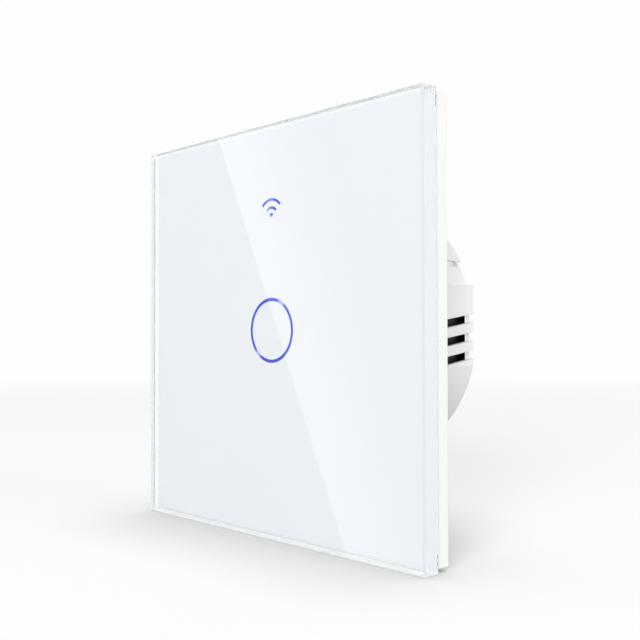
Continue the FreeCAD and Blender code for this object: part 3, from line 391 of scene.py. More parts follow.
def makeLamps():
    for name, look in lamps.items():
        data = bpy.data.lights.new(name, "AREA")
        data.shape = "DISK"
        data.size = look["size"]
        data.energy = look["power"]
        lamp = bpy.data.objects.new(name, data)
        lamp.location = look["place"]
        lamp.rotation_mode = "QUATERNION"
        lamp.rotation_quaternion = (-Vector(look["place"])).to_track_quat("-Z", "Y")
        lamp.visible_glossy = False
        lamp.visible_transmission = False
        bpy.context.scene.collection.objects.link(lamp)


def mirroredPoint(pixel):
    # where the sight line through a pixel, mirrored by the glass front, meets the reflector's plane
    right, up, ahead = cameraAxes()
    eye = Vector(cameraSet["place"]) * mm
    half = imageSide / 2
    focal = cameraSet["focalPixels"]
    ray = ahead + right * ((pixel[0] - half) / focal) + up * ((half - pixel[1]) / focal)
    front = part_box("glass_panel")[0].y
    glass = eye + ray * ((front - eye.y) / ray.y)
    behind = Vector((eye.x, 2 * front - eye.y, eye.z))
    return behind + (glass - behind) * bandSet["reach"]


def reflectorFinish():
    material, t = newFinish("reflectorCloth")
    share = t.node("ShaderNodeSeparateXYZ", None, {0: t.node("ShaderNodeUVMap")})
    rise = between(t, share, 0.0, bandSet["sharpEdge"])
    fall = between(t, share, bandSet["fadeStart"], 1.0, 1.0, 0.0)
    clear = t.node("ShaderNodeBsdfTransparent")
    lit = t.node("ShaderNodeAddShader", None, {0: emission(t, grey(1), bandSet["glow"]), 1: clear})
    showSurface(t, mixShaders(t, rise * fall, clear, lit))
    return material


def makeReflector():
    top = Vector(bandSet["edgeTop"])
    bottom = Vector(bandSet["edgeBottom"])
    run = (bottom - top) * bandSet["overrun"]
    across = Vector((bandSet["fadeWidth"], 0))
    corners = [top - run, top - run + across, bottom + run + across, bottom + run]
    mesh = bmesh.new()
    uv = mesh.loops.layers.uv.new("across")
    face = mesh.faces.new([mesh.verts.new(mirroredPoint(corner)) for corner in corners])
    for loop, share in zip(face.loops, (0, 1, 1, 0)):
        loop[uv].uv = (share, 0)
    reflector = addObject("softReflector", mesh, reflectorFinish())
    reflector.visible_camera = False
    reflector.visible_diffuse = False
    reflector.visible_shadow = False
    reflector.visible_transmission = False


makeWorld()
makeFloor()
makeLamps()
makeReflector()
bpy.context.scene.view_settings.view_transform = "Standard"
print("stage set")


# Glass front: polished float glass with ground facets along its edges, lengths in mm

glassSet = {
    "bevel": 0.35,
    "arris": 0.05,
    "bond": 0.02,  # the print is bonded to the back, so it sits just inside the glass
    "ior": 1.5,
    "tint": (0.975, 0.993, 0.990, 1),
    "passing": (0.97, 0.985, 0.98, 1),
    "smear": 14,
    "smearFrom": 0.55,
    "smearTo": 0.95,
    "smearGloss": 0.008,
    "wave": 30,
    "waveDepth": 0.001,
    "waveStrength": 0.05,
}
facetSet = {
    "tone": (0.66, 0.68, 0.69, 1),
    "shade": (0.62, 0.65, 0.66, 1),
    "pale": (0.87, 0.89, 0.90, 1),
    "cloud": 5,
    "clear": 0.3,  # share of the light that passes, the ground surface scatters the rest
    "gloss": 0.25,
    "grit": 0.05,
    "gritGloss": 0.10,
    "gritDepth": 0.001,
    "gritStrength": 0.3,
}


def letLightThrough(t, glass):
    # lamp light and light that the print scatters pass straight through
    scattered = t.maths("MAXIMUM", rayIs(t, "Is Shadow Ray"), rayIs(t, "Is Diffuse Ray"))
    through = t.node("ShaderNodeBsdfTransparent", None, {"Color": glassSet["passing"]})
    return mixShaders(t, scattered, glass, through)


def glassFinish():
    material, t = newFinish("clearGlass")
    where = coords(t)
    smears = noise(t, where, glassSet["smear"] * mm, 3.0)
    wave = noise(t, where, glassSet["wave"] * mm, 1.0)
    gloss = between(t, smears, glassSet["smearFrom"], glassSet["smearTo"], 0.0, glassSet["smearGloss"])
    surface = bump(t, wave, glassSet["waveDepth"] * mm, glassSet["waveStrength"])
    glass = principled(t, {
        "Base Color": glassSet["tint"], "Roughness": gloss,
        "IOR": glassSet["ior"], "Transmission Weight": 1.0, "Normal": surface})
    showSurface(t, letLightThrough(t, glass))
    return material


def facetFinish():
    # painted light and shade: the facets on the right are painted pale grey and those along the top, the
    # bottom and the left near white, standing in for how the lamps fall on them
    material, t = newFinish("groundGlassEdge")
    where = coords(t)
    grit = noise(t, where, facetSet["grit"] * mm)
    clouds = noise(t, where, facetSet["cloud"] * mm, 3.0)
    across, up = axisParts(t, where, "XZ")
    outward = t.maths("MAXIMUM", t.maths("ABSOLUTE", up), -1 * across)
    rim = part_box("glass_panel")[1].x - (glassSet["bevel"] + glassSet["arris"]) * mm
    colour = blendColours(t, clouds, facetSet["tone"], facetSet["shade"])
    # painted light: facets beyond the right side take the near white colour
    colour = blendColours(t, t.maths("GREATER_THAN", outward, rim), colour, facetSet["pale"])
    surface = bump(t, grit, facetSet["gritDepth"] * mm, facetSet["gritStrength"])
    glass = principled(t, {
        "Base Color": colour, "Roughness": facetSet["gloss"] + grit * facetSet["gritGloss"],
        "IOR": glassSet["ior"], "Transmission Weight": facetSet["clear"], "Normal": surface})
    showSurface(t, letLightThrough(t, glass))
    return material


def makeGlass():
    low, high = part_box("glass_panel")
    high.y += glassSet["bond"] * mm
    mesh = bmesh.new()
    addBlock(mesh, low, high)
    # both bevels give their faces the second material, the ground facets
    bmesh.ops.bevel(mesh, geom=mesh.edges[:], offset=glassSet["bevel"] * mm, segments=1, affect="EDGES",
                    material=1)
    bmesh.ops.bevel(mesh, geom=mesh.edges[:], offset=glassSet["arris"] * mm, segments=2, profile=0.5,
                    affect="EDGES", material=1)
    materials = glassFinish(), facetFinish()
    newPiece("glassFront", mesh, materials, "front_panel", ["glass_panel"])


makeGlass()
print("glass front made")


# Printed film with its lit windows, and the tape behind it, lengths in mm

filmSet = {
    "colour": (0.762, 0.768, 0.800, 1),
    "shade": (0.752, 0.760, 0.796, 1),
    "cloud": 9,
    "gloss": 0.5,
    "pulp": 0.09,
    "pulpGloss": 0.2,
    "pulpDepth": 0.004,
    "pulpStrength": 0.5,
    "specular": 0.2,
    "halo": (0.72, 0.85, 1.0, 1),
    "haloReach": 0.55,
    "haloLevel": 0.05,
}
windowSet = {
    "resin": (0.005, 0.02, 0.10, 1),
    "gloss": 0.35,
    "dot": 0.12,
    "dotGloss": 0.15,
    "dotDepth": 0.003,
    "dotStrength": 0.4,
    "specular": 0.2,
    "level": 1.0,
}
ringSet = {
    "radius": 6.45,
    "blue": (0.002, 0.035, 0.56, 1),
    "pale": (0.42, 0.50, 0.86, 1),
    "paleTurns": ((28, 15), (221, 14)),  # middle and half width in degrees, clockwise from the top
}
signSet = {
    "height": 23.6,
    "width": 6,
    "split": 2.9,  # radius where the inner arc's colours give way to the outer arc's
    "splitEnd": 2.958,
    "blue": (0.004, 0.045, 0.62, 1),
    "pale": (0.14, 0.22, 0.80, 1),
    "dim": (0.40, 0.45, 0.68, 1),
    "outerArc": ((0.0, "blue"), (0.14, "blue"), (0.36, "pale"), (0.52, "pale"), (0.72, "blue")),
    "innerArc": ((0.24, "dim"), (0.42, "pale"), (0.62, "blue")),
}
tapeSet = {
    "colour": (0.85, 0.86, 0.86, 1),
    "shade": (0.79, 0.80, 0.81, 1),
    "gloss": 0.7,
    "cell": 0.25,
    "cellGloss": 0.2,
    "cellDepth": 0.03,
}
beadSet = {
    "reach": 0.88,  # past the tape's edge
    "inset": 0.05,  # into the tape
    "gap": 0.01,  # to the glass and the frame
    "shoulder": 0.85,  # of the reach, where the bead starts to round off
    "taper": 0.3,  # of the thickness, on each side of the rim
}


def filmFinish():
    material, t = newFinish("whitePrint")
    where = coords(t)
    clouds = noise(t, where, filmSet["cloud"] * mm, 3.0)
    pulp = noise(t, where, filmSet["pulp"] * mm)
    across, up = axisParts(t, where, "XZ")
    offRing = t.maths("ABSOLUTE", reachOf(across, up) - ringSet["radius"] * mm)
    # painted light: the print is tinted pale blue close to the ring, as if lit by it
    halo = between(t, offRing, 0.0, filmSet["haloReach"] * mm, filmSet["haloLevel"], 0.0)
    colour = blendColours(t, clouds, filmSet["colour"], filmSet["shade"])
    colour = blendColours(t, halo, colour, filmSet["halo"])
    surface = bump(t, pulp, filmSet["pulpDepth"] * mm, filmSet["pulpStrength"])
    showSurface(t, principled(t, {
        "Base Color": colour, "Roughness": filmSet["gloss"] + pulp * filmSet["pulpGloss"],
        "Specular IOR Level": filmSet["specular"], "Normal": surface}))
    return material


def litWindow(t, colour):
    # dark blue resin that the light behind it fills with colour
    dots = noise(t, coords(t), windowSet["dot"] * mm)
    surface = bump(t, dots, windowSet["dotDepth"] * mm, windowSet["dotStrength"])
    showSurface(t, principled(t, {
        "Base Color": windowSet["resin"], "Roughness": windowSet["gloss"] + dots * windowSet["dotGloss"],
        "Emission Color": colour, "Emission Strength": windowSet["level"],
        "Specular IOR Level": windowSet["specular"], "Normal": surface}))


def ringFinish():
    # the ring has two paler stretches
    material, t = newFinish("ringLight")
    across, up = axisParts(t, coords(t), "XZ")
    clockwise = t.maths("ARCTAN2", across, up)
    paleness = 0.0
    for middle, half in ringSet["paleTurns"]:
        turn = math.radians(middle if middle < 180 else middle - 360)
        away = t.maths("ABSOLUTE", clockwise - turn)
        paleness = between(t, away, 0.0, math.radians(half), 1.0, 0.0) + paleness
    litWindow(t, blendColours(t, paleness, ringSet["blue"], ringSet["pale"]))
    return material


def arcColour(t, share, arc):
    stops = [(place, signSet[word]) for place, word in signSet[arc]]
    return t.node("ShaderNodeValToRGB", {"stops": stops}, {0: share})


def signFinish():
    # the outer arc has its own run of blues, the inner arc and the dot share the other
    material, t = newFinish("signLight")
    across, up = axisParts(t, coords(t), "XZ")
    radius = reachOf(across, up - signSet["height"] * mm)
    share = across / (signSet["width"] * mm) + 0.5
    outer, inner = [arcColour(t, share, arc) for arc in ("outerArc", "innerArc")]
    beyond = between(t, radius, signSet["split"] * mm, signSet["splitEnd"] * mm)
    litWindow(t, blendColours(t, beyond, inner, outer))
    return material


def tapeFinish():
    material, t = newFinish("foamTape")
    cells = noise(t, coords(t), tapeSet["cell"] * mm, 4.0)
    colour = blendColours(t, cells, tapeSet["colour"], tapeSet["shade"])
    showSurface(t, principled(t, {
        "Base Color": colour, "Roughness": tapeSet["gloss"] + cells * tapeSet["cellGloss"],
        "Normal": bump(t, cells, tapeSet["cellDepth"] * mm)}))
    return material


def makeTapeBead():
    # foam that the glass pressed out of the tape, into the corner between glass and frame
    low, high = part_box("adhesive_tape")
    inner, reach = -beadSet["inset"] * mm, beadSet["reach"] * mm
    shoulder = reach * beadSet["shoulder"]
    front, back = low.y + beadSet["gap"] * mm, high.y - beadSet["gap"] * mm
    taper = (high.y - low.y) * beadSet["taper"]
    # one square loop of points for each corner of the bead's section
    mesh = bmesh.new()
    loops = []
    for grow, level in ((inner, front), (shoulder, front), (reach, front + taper),
                        (reach, back - taper), (shoulder, back), (inner, back)):
        corners = ((low.x - grow, low.z - grow), (high.x + grow, low.z - grow),
                   (high.x + grow, high.z + grow), (low.x - grow, high.z + grow))
        loops.append([mesh.verts.new((x, level, z)) for x, z in corners])
    for first, second in zip(loops, loops[1:] + loops[:1]):
        bridge(mesh, first, second)
    bmesh.ops.recalc_face_normals(mesh, faces=mesh.faces)
    foam = nodes["adhesive_tape"].data.materials[0]
    newPiece("tapeBead", mesh, (foam,), "front_panel")


paint(filmFinish(), "backing_film")
paint(ringFinish(), "ring_window")
paint(signFinish(), "signal_window")
paint(tapeFinish(), "adhesive_tape")
makeTapeBead()
print("film, ring and signal icon finished")


# Moulded plastics. Colours are as a picture shows them; spots, levels and limits are in mm.

mouldedSet = {
    "ior": 1.48,
    "paintedCavityShade": rgb(4, 4, 4),
    "wornColour": 0.5,
    "wornGloss": 0.1,
    "grainGloss": 0.12,
    "grainShare": 0.7,  # of the relief, the rest is pits
    "pitScale": 4,  # grains across one pit
    "markGloss": 0.12,
    "markDepth": 0.05,
    "markEdge": 0.08,
}
mouldings = {
    "frameWhite": {
        "pieces": ("front_frame",), "colour": rgb(236, 236, 233), "shade": rgb(232, 233, 230),
        "burnish": rgb(240, 240, 238), "roughness": 0.42, "variation": 0.10, "cloud": 11 * mm,
        "grain": 0.16 * mm, "depth": 0.006 * mm, "edge": 0.12 * mm},
    "plateWhite": {
        "pieces": ("base_plate",), "colour": rgb(238, 239, 239), "shade": rgb(231, 233, 234),
        "burnish": rgb(246, 246, 246), "roughness": 0.50, "variation": 0.14, "cloud": 13 * mm,
        "grain": 0.20 * mm, "depth": 0.014 * mm, "edge": 0.15 * mm,
        "ejectors": {"side": -1, "level": 1.2, "radius": 1.5,
                     "spots": ((33, 33), (-33, 33), (33, -33), (-33, -33),
                               (0, -33), (22, 14), (-22, 14), (0, -20))}},
    "housingWhite": {
        "pieces": ("rear_housing",), "colour": rgb(240, 240, 240), "shade": rgb(234, 235, 235),
        "burnish": rgb(248, 248, 248), "roughness": 0.48, "variation": 0.14, "cloud": 12 * mm,
        "grain": 0.22 * mm, "depth": 0.020 * mm, "edge": 0.18 * mm,
        "paintedCavityShade": {"bore": 27.4, "start": 8.0, "wall": 26.35, "top": 9.2, "bottom": -15.0, "floor": 25.8},
        "ejectors": {"side": 1, "level": 26.9, "radius": 1.6,
                     "spots": ((0, 21.5), (0, -21.5), (-6.5, 0), (9.5, 9), (9.5, -9), (23, -5))}},
    "boxGrey": {
        "pieces": ("light_box", "terminal_block"), "colour": rgb(196, 199, 201), "shade": rgb(186, 190, 193),
        "burnish": rgb(212, 214, 216), "roughness": 0.45, "variation": 0.12, "cloud": 6 * mm,
        "grain": 0.14 * mm, "depth": 0.008 * mm, "edge": 0.10 * mm},
    "diffuserMilk": {
        "pieces": ("ring_diffuser", "signal_diffuser"), "colour": rgb(238, 243, 247),
        "shade": rgb(228, 236, 243), "burnish": rgb(247, 250, 252), "roughness": 0.35, "variation": 0.08,
        "cloud": 3 * mm, "grain": 0.08 * mm, "depth": 0.003 * mm, "edge": 0.08 * mm},
    "relayBlack": {
        "pieces": ("relay_cover", "relay_base"), "colour": rgb(18, 18, 19), "shade": rgb(12, 12, 13),
        "burnish": rgb(34, 34, 35), "roughness": 0.42, "variation": 0.16, "cloud": 5 * mm,
        "grain": 0.12 * mm, "depth": 0.010 * mm, "edge": 0.15 * mm},
    "resinBlack": {
        "pieces": ("touch_chip", "board_socket", "board_header", "rectifier"), "colour": rgb(40, 40, 42),
        "shade": rgb(30, 30, 32), "burnish": rgb(70, 70, 72), "roughness": 0.55, "variation": 0.14,
        "cloud": 2 * mm, "grain": 0.07 * mm, "depth": 0.008 * mm, "edge": 0.06 * mm},
    "ledWhite": {
        "pieces": ("ring_leds", "signal_led"), "colour": rgb(244, 242, 228), "shade": rgb(236, 232, 205),
        "burnish": rgb(250, 249, 240), "roughness": 0.30, "variation": 0.10, "cloud": 0.8 * mm,
        "grain": 0.05 * mm, "depth": 0.002 * mm, "edge": 0.04 * mm},
    "capacitorYellow": {
        "pieces": ("film_capacitor",), "colour": rgb(226, 176, 48), "shade": rgb(212, 160, 38),
        "burnish": rgb(240, 202, 96), "roughness": 0.32, "variation": 0.12, "cloud": 4 * mm,
        "grain": 0.12 * mm, "depth": 0.006 * mm, "edge": 0.12 * mm},
    "varistorBlue": {
        "pieces": ("varistor",), "colour": rgb(52, 98, 178), "shade": rgb(40, 82, 160),
        "burnish": rgb(92, 136, 208), "roughness": 0.26, "variation": 0.14, "cloud": 2 * mm,
        "grain": 0.30 * mm, "depth": 0.020 * mm, "edge": 0.25 * mm},
    "resistorGreen": {
        "pieces": ("fuse_resistor",), "colour": rgb(120, 158, 128), "shade": rgb(104, 142, 114),
        "burnish": rgb(152, 184, 158), "roughness": 0.60, "variation": 0.16, "cloud": 2 * mm,
        "grain": 0.14 * mm, "depth": 0.015 * mm, "edge": 0.15 * mm},
    "coreFerrite": {
        "pieces": ("transformer_core",), "colour": rgb(72, 72, 74), "shade": rgb(58, 58, 61),
        "burnish": rgb(112, 112, 114), "roughness": 0.62, "variation": 0.16, "cloud": 3 * mm,
        "grain": 0.10 * mm, "depth": 0.014 * mm, "edge": 0.12 * mm},
}


def paintedShadeMask(t, where, limits):
    # one on the inner faces behind the vents, where the shade inside is painted in as plain black
    across, out, up = axisParts(t, where)
    within = t.maths("LESS_THAN", reachOf(across, up), limits["bore"] * mm)
    for part, sense, word in ((across, "GREATER_THAN", "start"), (across, "LESS_THAN", "wall"),
                              (up, "LESS_THAN", "top"), (up, "GREATER_THAN", "bottom"),
                              (out, "LESS_THAN", "floor")):
        within = within * t.maths(sense, part, limits[word] * mm)
    return within


def ejectorMarks(t, where, marks):
    # round witness marks that the mould's ejector pins leave on a face beyond one level
    across, out, up = axisParts(t, where)
    beyond = t.maths("GREATER_THAN", out * marks["side"], marks["level"] * mm)
    soft = (marks["radius"] - mouldedSet["markEdge"]) * mm
    spots = 0.0
    for x, z in marks["spots"]:
        away = reachOf(across - x * mm, up - z * mm)
        spots = between(t, away, soft, marks["radius"] * mm, 1.0, 0.0) + spots
    return spots * beyond


def moulding(name, look):
    # spark-eroded moulded plastic: faint clouding, fine grain, soft edges that are slightly burnished
    material, t = newFinish(name)
    where = coords(t)
    clouds = noise(t, where, look["cloud"], 3.0, 0.6)
    grain = noise(t, where, look["grain"], 4.0, 0.65)
    pits = noise(t, where, look["grain"] * mouldedSet["pitScale"])
    rounded = edgeNormal(t, look["edge"])
    worn = edgeWear(t, rounded)
    colour = blendColours(t, clouds, look["colour"], look["shade"])
    colour = blendColours(t, worn * mouldedSet["wornColour"], colour, look["burnish"])
    # painted shade: the inner faces behind the vents are coloured near black
    if "paintedCavityShade" in look:
        colour = blendColours(t, paintedShadeMask(t, where, look["paintedCavityShade"]), colour, mouldedSet["paintedCavityShade"])
    gloss = look["roughness"] + (clouds - 0.5) * look["variation"]
    gloss = gloss + (grain - 0.5) * mouldedSet["grainGloss"] - worn * mouldedSet["wornGloss"]
    relief = grain * mouldedSet["grainShare"] + pits * (1 - mouldedSet["grainShare"])
    surface = bump(t, relief, look["depth"], 1.0, rounded)
    if "ejectors" in look:
        pressed = ejectorMarks(t, where, look["ejectors"])
        gloss = gloss - pressed * mouldedSet["markGloss"]
        surface = bump(t, pressed, -mouldedSet["markDepth"] * mm, 1.0, surface)
    showSurface(t, principled(t, {
        "Base Color": colour, "Roughness": gloss, "IOR": mouldedSet["ior"], "Normal": surface}))
    return material


for name, look in mouldings.items():
    paint(moulding(name, look), *look["pieces"])


# Metals

platedSet = {
    "stretch": (0.06, 1.0, 1.0),  # the streaks run along X
    "wornColour": 0.6,
    "wornGloss": 0.08,
    "streakGloss": 0.2,
}
metals = {
    "zincSteel": {
        "pieces": ("housing_screws", "touch_board_screws", "terminal_screw_1", "terminal_screw_2",
                   "terminal_screw_3"),
        "colour": (0.62, 0.62, 0.60, 1), "shade": (0.50, 0.50, 0.49, 1), "bright": (0.80, 0.80, 0.79, 1),
        "roughness": 0.30, "variation": 0.20, "cloud": 0.9 * mm, "streak": 0.12 * mm,
        "depth": 0.006 * mm, "edge": 0.08 * mm},
    "springWire": {
        "pieces": ("touch_spring",),
        "colour": (0.62, 0.62, 0.61, 1), "shade": (0.52, 0.52, 0.52, 1), "bright": (0.82, 0.82, 0.82, 1),
        "roughness": 0.22, "variation": 0.14, "cloud": 1.2 * mm, "streak": 0.06 * mm,
        "depth": 0.003 * mm, "edge": 0.03 * mm},
    "pinGold": {
        "pieces": ("header_pins",),
        "colour": (0.78, 0.56, 0.24, 1), "shade": (0.68, 0.46, 0.18, 1), "bright": (0.92, 0.74, 0.42, 1),
        "roughness": 0.20, "variation": 0.12, "cloud": 1.0 * mm, "streak": 0.08 * mm,
        "depth": 0.003 * mm, "edge": 0.03 * mm},
    "shieldNickel": {
        "pieces": ("radio_shield",),
        "colour": (0.58, 0.57, 0.54, 1), "shade": (0.50, 0.49, 0.46, 1), "bright": (0.78, 0.77, 0.74, 1),
        "roughness": 0.34, "variation": 0.18, "cloud": 4 * mm, "streak": 0.10 * mm,
        "depth": 0.004 * mm, "edge": 0.10 * mm},
    "clampBrass": {
        "pieces": ("terminal_contacts", "clamp_cage_1", "clamp_cage_2", "clamp_cage_3"),
        "colour": (0.70, 0.52, 0.22, 1), "shade": (0.58, 0.40, 0.15, 1), "bright": (0.88, 0.72, 0.42, 1),
        "roughness": 0.30, "variation": 0.20, "cloud": 2 * mm, "streak": 0.12 * mm,
        "depth": 0.006 * mm, "edge": 0.08 * mm},
    "softIron": {
        "pieces": ("relay_yoke", "relay_armature"),
        "colour": (0.54, 0.54, 0.54, 1), "shade": (0.44, 0.44, 0.45, 1), "bright": (0.74, 0.74, 0.74, 1),
        "roughness": 0.36, "variation": 0.20, "cloud": 2 * mm, "streak": 0.14 * mm,
        "depth": 0.006 * mm, "edge": 0.08 * mm},
    "contactCopper": {
        "pieces": ("relay_fixed_contact", "contact_blade"),
        "colour": (0.72, 0.38, 0.22, 1), "shade": (0.60, 0.29, 0.16, 1), "bright": (0.88, 0.60, 0.44, 1),
        "roughness": 0.28, "variation": 0.18, "cloud": 1.5 * mm, "streak": 0.10 * mm,
        "depth": 0.004 * mm, "edge": 0.05 * mm},
}


def plated(name, look):
    # drawn, rolled or plated metal: streaks along one direction, handling marks and bright edges
    material, t = newFinish(name)
    where = coords(t)
    streaks = noise(t, stretched(t, where, platedSet["stretch"]), look["streak"], 3.0, 0.6)
    stains = noise(t, where, look["cloud"], 4.0, 0.6)
    rounded = edgeNormal(t, look["edge"])
    worn = edgeWear(t, rounded)
    colour = blendColours(t, stains, look["colour"], look["shade"])
    colour = blendColours(t, worn * platedSet["wornColour"], colour, look["bright"])
    gloss = look["roughness"] + (stains - 0.5) * look["variation"]
    gloss = gloss + (streaks - 0.5) * platedSet["streakGloss"] - worn * platedSet["wornGloss"]
    surface = bump(t, streaks, look["depth"], 1.0, rounded)
    showSurface(t, principled(t, {
        "Base Color": colour, "Roughness": gloss, "Metallic": 1.0, "Normal": surface}))
    return material


for name, look in metals.items():
    paint(plated(name, look), *look["pieces"])


# Wound and sleeved parts inside the housing, lengths in mm

coilSet = {
    "radius": 3.72,
    "wire": 0.16,
    "copper": (0.56, 0.20, 0.08, 1),
    "stain": (0.44, 0.14, 0.06, 1),
    "paintedValleyShade": (0.16, 0.05, 0.02, 1),
    "cheek": (0.78, 0.78, 0.74, 1),
    "stainSize": 1.2,
    "metallic": 0.8,
    "gloss": 0.34,
    "stainGloss": 0.14,
    "depth": 0.05,
}
windingSet = {
    "step": 1.5,
    "waver": 0.25,
    "waverSize": 6,
    "overlap": 0.08,  # of a step, the dark edge of each layer
    "tape": rgb(222, 188, 58),
    "tapeEnd": rgb(236, 206, 84),
    "edge": rgb(176, 140, 34),
    "stretch": (1.0, 1.0, 0.2),
    "wrinkle": 0.5,
    "gloss": 0.20,
    "wrinkleGloss": 0.16,
    "edgeShare": 0.6,  # of the relief, the rest is wrinkles
    "depth": 0.05,
}
canSet = {
    "sleeve": rgb(38, 42, 52),
    "sleeveShade": rgb(30, 33, 42),
    "stripeColour": rgb(186, 192, 200),
    "bareMetal": (0.76, 0.77, 0.78, 1),
    "lip": 0.7,  # of sleeve, left round the bare top
    "stripe": 1.1,
    "topDepth": 0.02,
    "scoreFrom": 0.05,
    "scoreTo": 0.12,
    "scuff": 0.8,
    "gloss": 0.24,
    "scuffGloss": 0.14,
    "scuffRelief": 0.2,
    "depth": 0.06,
}


def fromAxis(t, where, name):
    # how far a point is, along X and along Z, from the axis of a round node on the power board
    low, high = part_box(name)
    across, up = axisParts(t, where, "XZ")
    return across - (low.x + high.x) / 2, up - (low.z + high.z) / 2


def coilFinish():
    # enamelled wire between the bobbin's white cheeks
    material, t = newFinish("coilWire")
    where = coords(t)
    out = axisParts(t, where, "Y")[0]
    wound = t.maths("LESS_THAN", reachOf(*fromAxis(t, where, "relay_coil")), coilSet["radius"] * mm)
    turns = t.maths("ABSOLUTE", t.maths("SINE", out * (math.pi / (coilSet["wire"] * mm))))
    stains = noise(t, where, coilSet["stainSize"] * mm, 3.0)
    copper = blendColours(t, stains, coilSet["copper"], coilSet["stain"])
    # painted shade: the grooves between the turns are coloured dark
    copper = blendColours(t, turns, coilSet["paintedValleyShade"], copper)
    showSurface(t, principled(t, {
        "Base Color": blendColours(t, wound, coilSet["cheek"], copper),
        "Metallic": wound * coilSet["metallic"],
        "Roughness": coilSet["gloss"] + stains * coilSet["stainGloss"],
        "Normal": bump(t, turns * wound, coilSet["depth"] * mm)}))
    return material


def windingFinish():
    # yellow polyester tape in overlapping layers
    material, t = newFinish("windingTape")
    where = coords(t)
    up = axisParts(t, where, "Z")[0]
    waver = noise(t, where, windingSet["waverSize"] * mm) * windingSet["waver"]
    step = t.maths("FRACT", up / (windingSet["step"] * mm) + waver)
    edge = between(t, step, 0.0, windingSet["overlap"])
    wrinkles = noise(t, stretched(t, where, windingSet["stretch"]), windingSet["wrinkle"] * mm, 3.0)
    colour = blendColours(t, step, windingSet["tape"], windingSet["tapeEnd"])
    relief = edge * windingSet["edgeShare"] + wrinkles * (1 - windingSet["edgeShare"])
    showSurface(t, principled(t, {
        "Base Color": blendColours(t, edge, windingSet["edge"], colour),
        "Roughness": windingSet["gloss"] + wrinkles * windingSet["wrinkleGloss"],
        "Normal": bump(t, relief, windingSet["depth"] * mm)}))
    return material


def canFinish(name):
    # shrink sleeve with a pale polarity stripe, and the bare aluminium top with its cross score
    material, t = newFinish(name + "Sleeve")
    where = coords(t)
    low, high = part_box(name)
    side, rise = fromAxis(t, where, name)
    out = axisParts(t, where, "Y")[0]
    top = t.maths("GREATER_THAN", out, high.y - canSet["topDepth"] * mm)
    bareRadius = (high.x - low.x) / 2 - canSet["lip"] * mm
    bare = top * t.maths("LESS_THAN", reachOf(side, rise), bareRadius)
    score = t.maths("MINIMUM", t.maths("ABSOLUTE", side), t.maths("ABSOLUTE", rise))
    groove = between(t, score, canSet["scoreFrom"] * mm, canSet["scoreTo"] * mm, 1.0, 0.0) * bare
    stripe = t.maths("LESS_THAN", t.maths("ABSOLUTE", side), canSet["stripe"] * mm)
    stripe = stripe * t.maths("LESS_THAN", rise, 0.0) * (1 - top)
    scuffs = noise(t, where, canSet["scuff"] * mm, 4.0)
    colour = blendColours(t, scuffs, canSet["sleeve"], canSet["sleeveShade"])
    colour = blendColours(t, stripe, colour, canSet["stripeColour"])
    showSurface(t, principled(t, {
        "Base Color": blendColours(t, bare, colour, canSet["bareMetal"]),
        "Metallic": bare,
        "Roughness": canSet["gloss"] + scuffs * canSet["scuffGloss"],
        "Normal": bump(t, scuffs * canSet["scuffRelief"] - groove, canSet["depth"] * mm)}))
    return material


paint(coilFinish(), "relay_coil")
paint(windingFinish(), "transformer_winding")
for name in ("input_capacitor", "output_capacitor"):
    paint(canFinish(name), name)


# Cross-recess pan head screws with rolled threads, one mesh per set of screws, lengths in mm

screwShape = {
    "sides": 24,
    "threadRows": 4,  # rows of points to one pitch
    "tip": 0.25,  # of the thread's radius, left at its end
    "runout": 0.25,  # of a pitch, left plain under the head
    "weld": 0.0005,
    # share of the head's radius, and share of its depth
    "headProfile": ((0.55, 0.0), (0.96, 0.0), (1.0, 0.06), (1.0, 0.42),
                    (0.96, 0.62), (0.86, 0.82), (0.72, 0.95), (0.62, 1.0)),
    # shares of the recess's reach, of its wing and of its depth
    "recessSteps": ((1.0, 1.0, 0.0), (0.72, 0.85, 0.5), (0.40, 0.7, 1.0)),
    "recessCorner": 1.25,  # of the wing, the rounded-out corner between two wings
}
screwSets = {
    "housingScrews": {
        "stands": "housing_screws", "spread": ((1, 1), (1, -1), (-1, 1), (-1, -1)),
        "head": 1.75, "headDepth": 1.4, "crest": 1.05, "root": 0.80, "pitch": 0.8, "taper": 1.6,
        "recess": 0.95, "wing": 0.24, "recessDepth": 0.85},
    "boardScrews": {
        "stands": "touch_board_screws", "spread": ((1, 0), (-1, 0)),
        "head": 1.7, "headDepth": 1.1, "crest": 0.95, "root": 0.72, "pitch": 0.6, "taper": 1.0,
        "recess": 0.90, "wing": 0.22, "recessDepth": 0.65},
}


def pointOn(mesh, spot, radius, turn, level):
    return mesh.verts.new((spot[0] + radius * math.cos(turn), level, spot[1] + radius * math.sin(turn)))


def addThread(mesh, spot, look, tip, seat):
    # rows of points that climb one pitch per turn, wound as one helix
    sides, perPitch = screwShape["sides"], screwShape["threadRows"]
    crest, root, pitch, taper = [look[word] * mm for word in ("crest", "root", "pitch", "taper")]
    length = seat - tip
    rows = []
    for row in range(int((length / pitch + 1) * perPitch) + 1):
        points = []
        for i in range(sides):
            climb = min(max((row / perPitch + i / sides - 1) * pitch, 0), length)
            radius = crest if row % perPitch in (1, 2) else root
            radius = min(radius * (screwShape["tip"] + climb / taper), radius)
            if length - climb < screwShape["runout"] * pitch:
                radius = root
            points.append(pointOn(mesh, spot, radius, 2 * math.pi * i / sides, tip + climb))
        rows.append(points)
    for lower, upper in zip(rows, rows[1:]):
        for i in range(sides - 1):
            mesh.faces.new((lower[i], lower[i + 1], upper[i + 1], upper[i]))
    # the last point of a row joins the first point of the row that lies one pitch higher
    for row in range(len(rows) - perPitch - 1):
        above = row + perPitch
        mesh.faces.new((rows[row][-1], rows[above][0], rows[above + 1][0], rows[row + 1][-1]))


